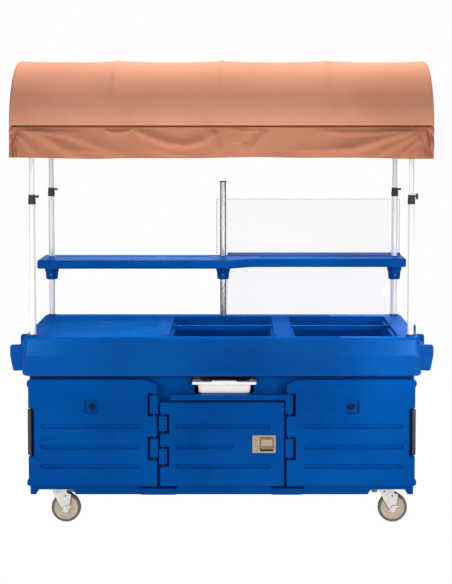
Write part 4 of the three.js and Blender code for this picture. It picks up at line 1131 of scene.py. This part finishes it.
def stitches(name, pts, step=9.0, length=5.0, r=0.45):
    """A run of separate thread stitches along a line of points."""
    verts, faces = [], []
    pts = [Vector(p) for p in pts]
    dist = [0.0]
    for a, b in zip(pts, pts[1:]):
        dist.append(dist[-1] + (b - a).length)

    def at(d):
        i = min(len(dist) - 2, max(0, int(np.searchsorted(dist, d)) - 1))
        return pts[i].lerp(pts[i + 1], (d - dist[i]) / max(1e-6, dist[i + 1] - dist[i]))
    d = step
    while d + length < dist[-1]:
        a, b = at(d), at(d + length)
        t = (b - a).normalized()
        u = t.cross(Vector((0.3, 0.2, 0.93))).normalized()
        v = t.cross(u)
        i0 = len(verts)
        for p in (a, (a + b) / 2, b):
            for k in range(4):
                w = math.pi / 2 * k
                verts.append(p + (u * math.cos(w) + v * math.sin(w)) * r * (1.25 if p is not a and p is not b else 0.7))
        for j in range(2):
            for k in range(4):
                faces.append((i0 + 4 * j + k, i0 + 4 * j + (k + 1) % 4, i0 + 4 * (j + 1) + (k + 1) % 4, i0 + 4 * (j + 1) + k))
        faces += [(i0 + 3, i0 + 2, i0 + 1, i0), (i0 + 8, i0 + 9, i0 + 10, i0 + 11)]
        d += step
    return make(name, verts, faces)


def seam_lines():
    Yd, Zd, X, rows, C, R = grid
    made = []
    for sx in (-552, 0, 552):
        for off in (-9, 9):
            c = int(np.argmin(np.abs(X[0] - (sx + off))))
            pts = [(X[r, c], Yd[r, c] * 1.0008, Zd[r, c] + 0.25) for r in range(R) if rows[r][0] == "arch"]
            made.append(stitches("s", pts))
    for side in (1, -1):
        order = range(R) if side > 0 else range(R - 1, -1, -1)
        for want in (HEM + 18,):
            r = next(r for r in order if rows[r][0] == "valance" and rows[r][2] >= want - 1.5)
            made.append(stitches("s", [(X[r, c], Yd[r, c] - side * 0.35, Zd[r, c]) for c in range(C)]))
    o = join("canopy_stitching", *made)
    return finish(o, "canopy_stitching", "canopy", THREAD, weighted=False, sharp=60)


stitching = seam_lines()

# ------------------------------------------------------------------- casters
LEG = [(-30, 178), (-30, 160), (-8, 119), (20, 74), (27, 56), (38, 50), (49, 56), (54, 72), (60, 112), (66, 148), (44, 153), (44, 178)]
LEVER = [(-24, -16), (-20, -19), (-10, -12), (-2, -12), (4, -13), (12, -9), (14, 2), (28, 7), (31, 12), (27, 15), (14, 12), (8, 14), (-4, 13), (-11, 4), (-13, -5)]
for nm, sx, sy in CORNERS:
    cx, cy = sx * 845, sy * 285
    turn = -math.pi / 2 if sy > 0 else 0
    fork_body, wheel_body = f"fork_{nm}", f"wheel_{nm}"
    # top plate with its slotted bolt holes and bearing ring
    plate = bevel(prism("Z", rrect(-52, 52, -42, 42, 7, 5), 187.2, 191.6), 0.9, 2, 60)
    cut(plate, *[prism("Z", rrect(a * 38 - 8, a * 38 + 8, b * 29 - 4.6, b * 29 + 4.6, 4.4, 4), 180, 200) for a in (-1, 1) for b in (-1, 1)])
    race = lathe([(25.2, 181), (30, 181), (31.4, 182.6), (31.4, 185.5), (30, 188), (25.2, 188)], 36)
    finish(move(race, cx, cy), f"caster_bearing_{nm}", "cart", DARK_STEEL, sharp=35)
    finish(move(plate, cx, cy), f"caster_top_plate_{nm}", "cart", ZINC, [f"caster_plate_{nm}"], sharp=35)
    bolts = []
    for a in (-1, 1):
        for b in (-1, 1):
            hexa = lathe([(0, 180.6), (6.6, 180.6), (7.4, 181.4), (7.4, 185.6), (0, 185.6)], 6)
            wash = lathe([(0, 185.4), (9, 185.4), (9, 187.1), (0, 187.1)], 20)
            bolts.append(move(join("b", hexa, wash), a * 38, b * 29))
    bolt = join("bolts", *bolts)
    finish(move(bolt, cx, cy), f"caster_plate_bolts_{nm}", "cart", DARK_STEEL, weighted=False, sharp=25)
    # pressed fork: two legs, crown, bearing boss
    legs = []
    for y in (-23.4, 20.2):
        leg = prism("Y", fillet(LEG, [4, 5, 14, 14, 9, 11, 9, 14, 14, 5, 8, 3], 4), y, y + 3.2)
        holes = [cyl("Y", p, y - 2, y + 5, q, seg=20) for p, q in (((-5, 163), 4.4), ((36, 140), 4.4), ((45, 91), 2.6))]
        rib = prism("Y", fillet([(8, 168), (22, 168), (30, 100), (24, 100)], 4, 4), y - (1.1 if y < 0 else -2.2), y + (1.0 if y < 0 else 4.3))
        leg = union(leg, rib)
        cut(leg, *holes)
        legs.append(leg)
    crown = prism("Z", rrect(-30, 44, -23.4, 23.4, 9, 5), 170, 178)
    fork = legs[0]
    union(fork, legs[1], crown, lathe([(0, 176), (24.2, 176), (24.2, 186.4), (0, 186.4)], 32),
          lathe([(0, 163), (9, 163), (9, 171), (0, 171)], 6))
    bevel(fork, 0.8, 2, 50)
    # axle bolt with hex head and nut
    bolt = join("axle", cyl("Y", (38, 76), -33, 27, 6.2, seg=24), lathe([(0, 23.6), (10, 23.6), (10.8, 24.4), (10.8, 29.6), (10, 30.4), (0, 30.4)], 6, "Y", (38, 0, 76)),
                lathe([(0, -36.4), (6.4, -36.4), (9.6, -35.2), (9.6, -30), (0, -30)], 6, "Y", (38, 0, 76)))
    fork_o = finish(move(fork, cx, cy, 0, turn), f"caster_fork_pressed_{nm}", fork_body, ZINC, [f"caster_fork_{nm}"], sharp=35)
    finish(move(bolt, cx, cy, 0, turn), f"caster_axle_bolt_{nm}", fork_body, ZINC, weighted=False, sharp=25)
    # wheel: hub with a dished web, and a tyre round it
    hub = [(6.8, -18.5), (13, -18.5), (15, -17.5), (17, -13.6), (22, -12.4), (46, -12.0), (50, -12.6), (54, -14.6), (60.5, -15.2), (61.6, -14.4)]
    hub = lathe(hub + [(r, -z) for r, z in hub[::-1]], 56, "Y", (38, 0, 76))
    tread = [(61.7, -14.2), (62, -15.6), (64, -16), (69, -16), (72.6, -14.8), (75, -11.5), (76, -7), (76, 0)]
    tyre = lathe(tread + [(r, -z) for r, z in tread[::-1][1:]], 56, "Y", (38, 0, 76))
    finish(move(hub, cx, cy, 0, turn), f"wheel_hub_{nm}", wheel_body, HUB, [f"caster_wheel_{nm}"], sharp=40, weighted=False)
    finish(move(tyre, cx, cy, 0, turn), f"wheel_tyre_{nm}", wheel_body, TYRE, sharp=40, weighted=False)
    if sy < 0:
        lever = prism("Y", fillet([(a + 38, b + 76) for a, b in LEVER], [3, 3, 3, 2, 3, 4, 3, 3, 3, 3, 2, 3, 3, 3, 2], 3), -29.5, -24)
        cut(lever, cyl("Y", (38, 76), -40, -20, 6.9, seg=24))
        bevel(lever, 1.2, 2, 50)
        finish(move(lever, cx, cy, 0, turn), f"brake_pedal_{nm}", f"brake_{nm}", ZINC, [f"brake_lever_{nm}"])

# ------------------------------------------------------------- studio set-up
floor = lathe([(0, -0.02), (5.0, -0.02), (5.0, 0.0), (0, 0.0)], 96)
floor.name = "floor"
fm = Mat("studio_floor").set(Roughness=0.8, Specular_IOR_Level=0.1)
pale = fm.mix(fm.range(fm.noise(0.6, 2, 0.5), 0, 1), (0.92, 0.92, 0.92, 1), (0.95, 0.95, 0.95, 1))
fm.link(pale, fm.p.inputs["Base Color"])
rv = fm.n("ShaderNodeVectorMath", operation="LENGTH")
fm.link(fm.coord.outputs["Object"], rv.inputs[0])
mask = fm.range(rv.outputs["Value"], 1.0, 0.0, 2.3, 4.6)
glow = fm.n("ShaderNodeEmission")
glow.inputs["Color"].default_value = (1, 1, 1, 1)
glow.inputs["Strength"].default_value = 1.04
clear = fm.n("ShaderNodeBsdfTransparent")
lit = fm.n("ShaderNodeMixShader")
lit.inputs[0].default_value = 0.96
fm.link(fm.p.outputs[0], lit.inputs[1])
fm.link(glow.outputs[0], lit.inputs[2])
fade = fm.n("ShaderNodeMixShader")
fm.link(mask, fade.inputs[0])
fm.link(clear.outputs[0], fade.inputs[1])
fm.link(lit.outputs[0], fade.inputs[2])
fm.link(fade.outputs[0], fm.t.nodes["Material Output"].inputs["Surface"])
floor.data.materials.append(fm.m)

world = bpy.data.worlds.new("studio")
scene.world = world
world.use_nodes = True
wt = world.node_tree
bg = wt.nodes["Background"]
co = wt.nodes.new("ShaderNodeTexCoord")
sp = wt.nodes.new("ShaderNodeSeparateXYZ")
wt.links.new(co.outputs["Generated"], sp.inputs["Vector"])
back = wt.nodes.new("ShaderNodeMapRange")  # brighter behind and above the cart
back.inputs["From Min"].default_value, back.inputs["From Max"].default_value = -0.35, 0.55
back.inputs["To Min"].default_value, back.inputs["To Max"].default_value = 0.18, 0.72
wt.links.new(sp.outputs["Y"], back.inputs["Value"])
under = wt.nodes.new("ShaderNodeMapRange")  # and dimmer below the horizon
under.inputs["From Min"].default_value, under.inputs["From Max"].default_value = -0.08, 0.06
under.inputs["To Min"].default_value, under.inputs["To Max"].default_value = 0.12, 1.0
wt.links.new(sp.outputs["Z"], under.inputs["Value"])
sky = wt.nodes.new("ShaderNodeMath")
sky.operation = "MULTIPLY"
wt.links.new(back.outputs["Result"], sky.inputs[0])
wt.links.new(under.outputs["Result"], sky.inputs[1])
lp = wt.nodes.new("ShaderNodeLightPath")
mx = wt.nodes.new("ShaderNodeMix")
mx.data_type = "FLOAT"
wt.links.new(lp.outputs["Is Camera Ray"], mx.inputs[0])
wt.links.new(sky.outputs[0], mx.inputs[2])
mx.inputs[3].default_value = 1.0
wt.links.new(mx.outputs[0], bg.inputs["Strength"])
bg.inputs["Color"].default_value = (1, 1, 1, 1)


def area_light(name, at, target, sx, sy, power, color=(1, 1, 1), spread=160):
    d = bpy.data.lights.new(name, "AREA")
    d.shape, d.size, d.size_y, d.energy, d.color = "RECTANGLE", sx, sy, power, color
    d.spread = rad(spread)
    o = bpy.data.objects.new(name, d)
    COLL.objects.link(o)
    o.location = at
    o.rotation_euler = (Vector(target) - Vector(at)).to_track_quat("-Z", "Y").to_euler()
    o.visible_camera = False
    return o


area_light("softbox_top", (0.3, 1.8, 6.3), (0.05, 0.0, 2.3), 4.0, 1.25, 248)
area_light("softbox_back", (0.0, 2.6, 1.95), (0, 0.0, 1.0), 4.0, 0.5, 6, spread=56)
area_light("under_canopy", (0.0, -0.22, 1.87), (0.0, -0.22, 0.0), 1.9, 0.45, 5, spread=110)
area_light("fill_up", (0.05, -1.9, 1.0), (0.0, -0.4, 2.2), 2.3, 0.5, 6.9, spread=90)
area_light("softbox_left", (-3.3, -3.5, 2.0), (-0.6, -0.4, 0.7), 1.2, 1.7, 7.8, spread=66)
area_light("softbox_right", (2.6, -4.3, 2.0), (0.6, -0.4, 0.8), 1.2, 1.7, 8, spread=76)
area_light("rim_left", (-2.2, -1.9, 1.3), (-0.95, -0.4, 0.8), 0.8, 0.4, 1.8, spread=60)
area_light("rim_right", (2.2, -1.9, 1.3), (0.95, -0.4, 0.8), 0.8, 0.4, 3.2, spread=60)
area_light("kick_left", (-1.05, -0.82, 0.965), (-0.985, -0.405, 0.925), 0.05, 0.03, 0.32)
area_light("kick_right", (1.04, -0.82, 0.965), (0.96, -0.405, 0.925), 0.08, 0.03, 0.62)

scene.view_settings.view_transform = "Standard"
scene.view_settings.look = "None"
scene.view_settings.exposure = 0.0
scene.view_settings.gamma = 1.0
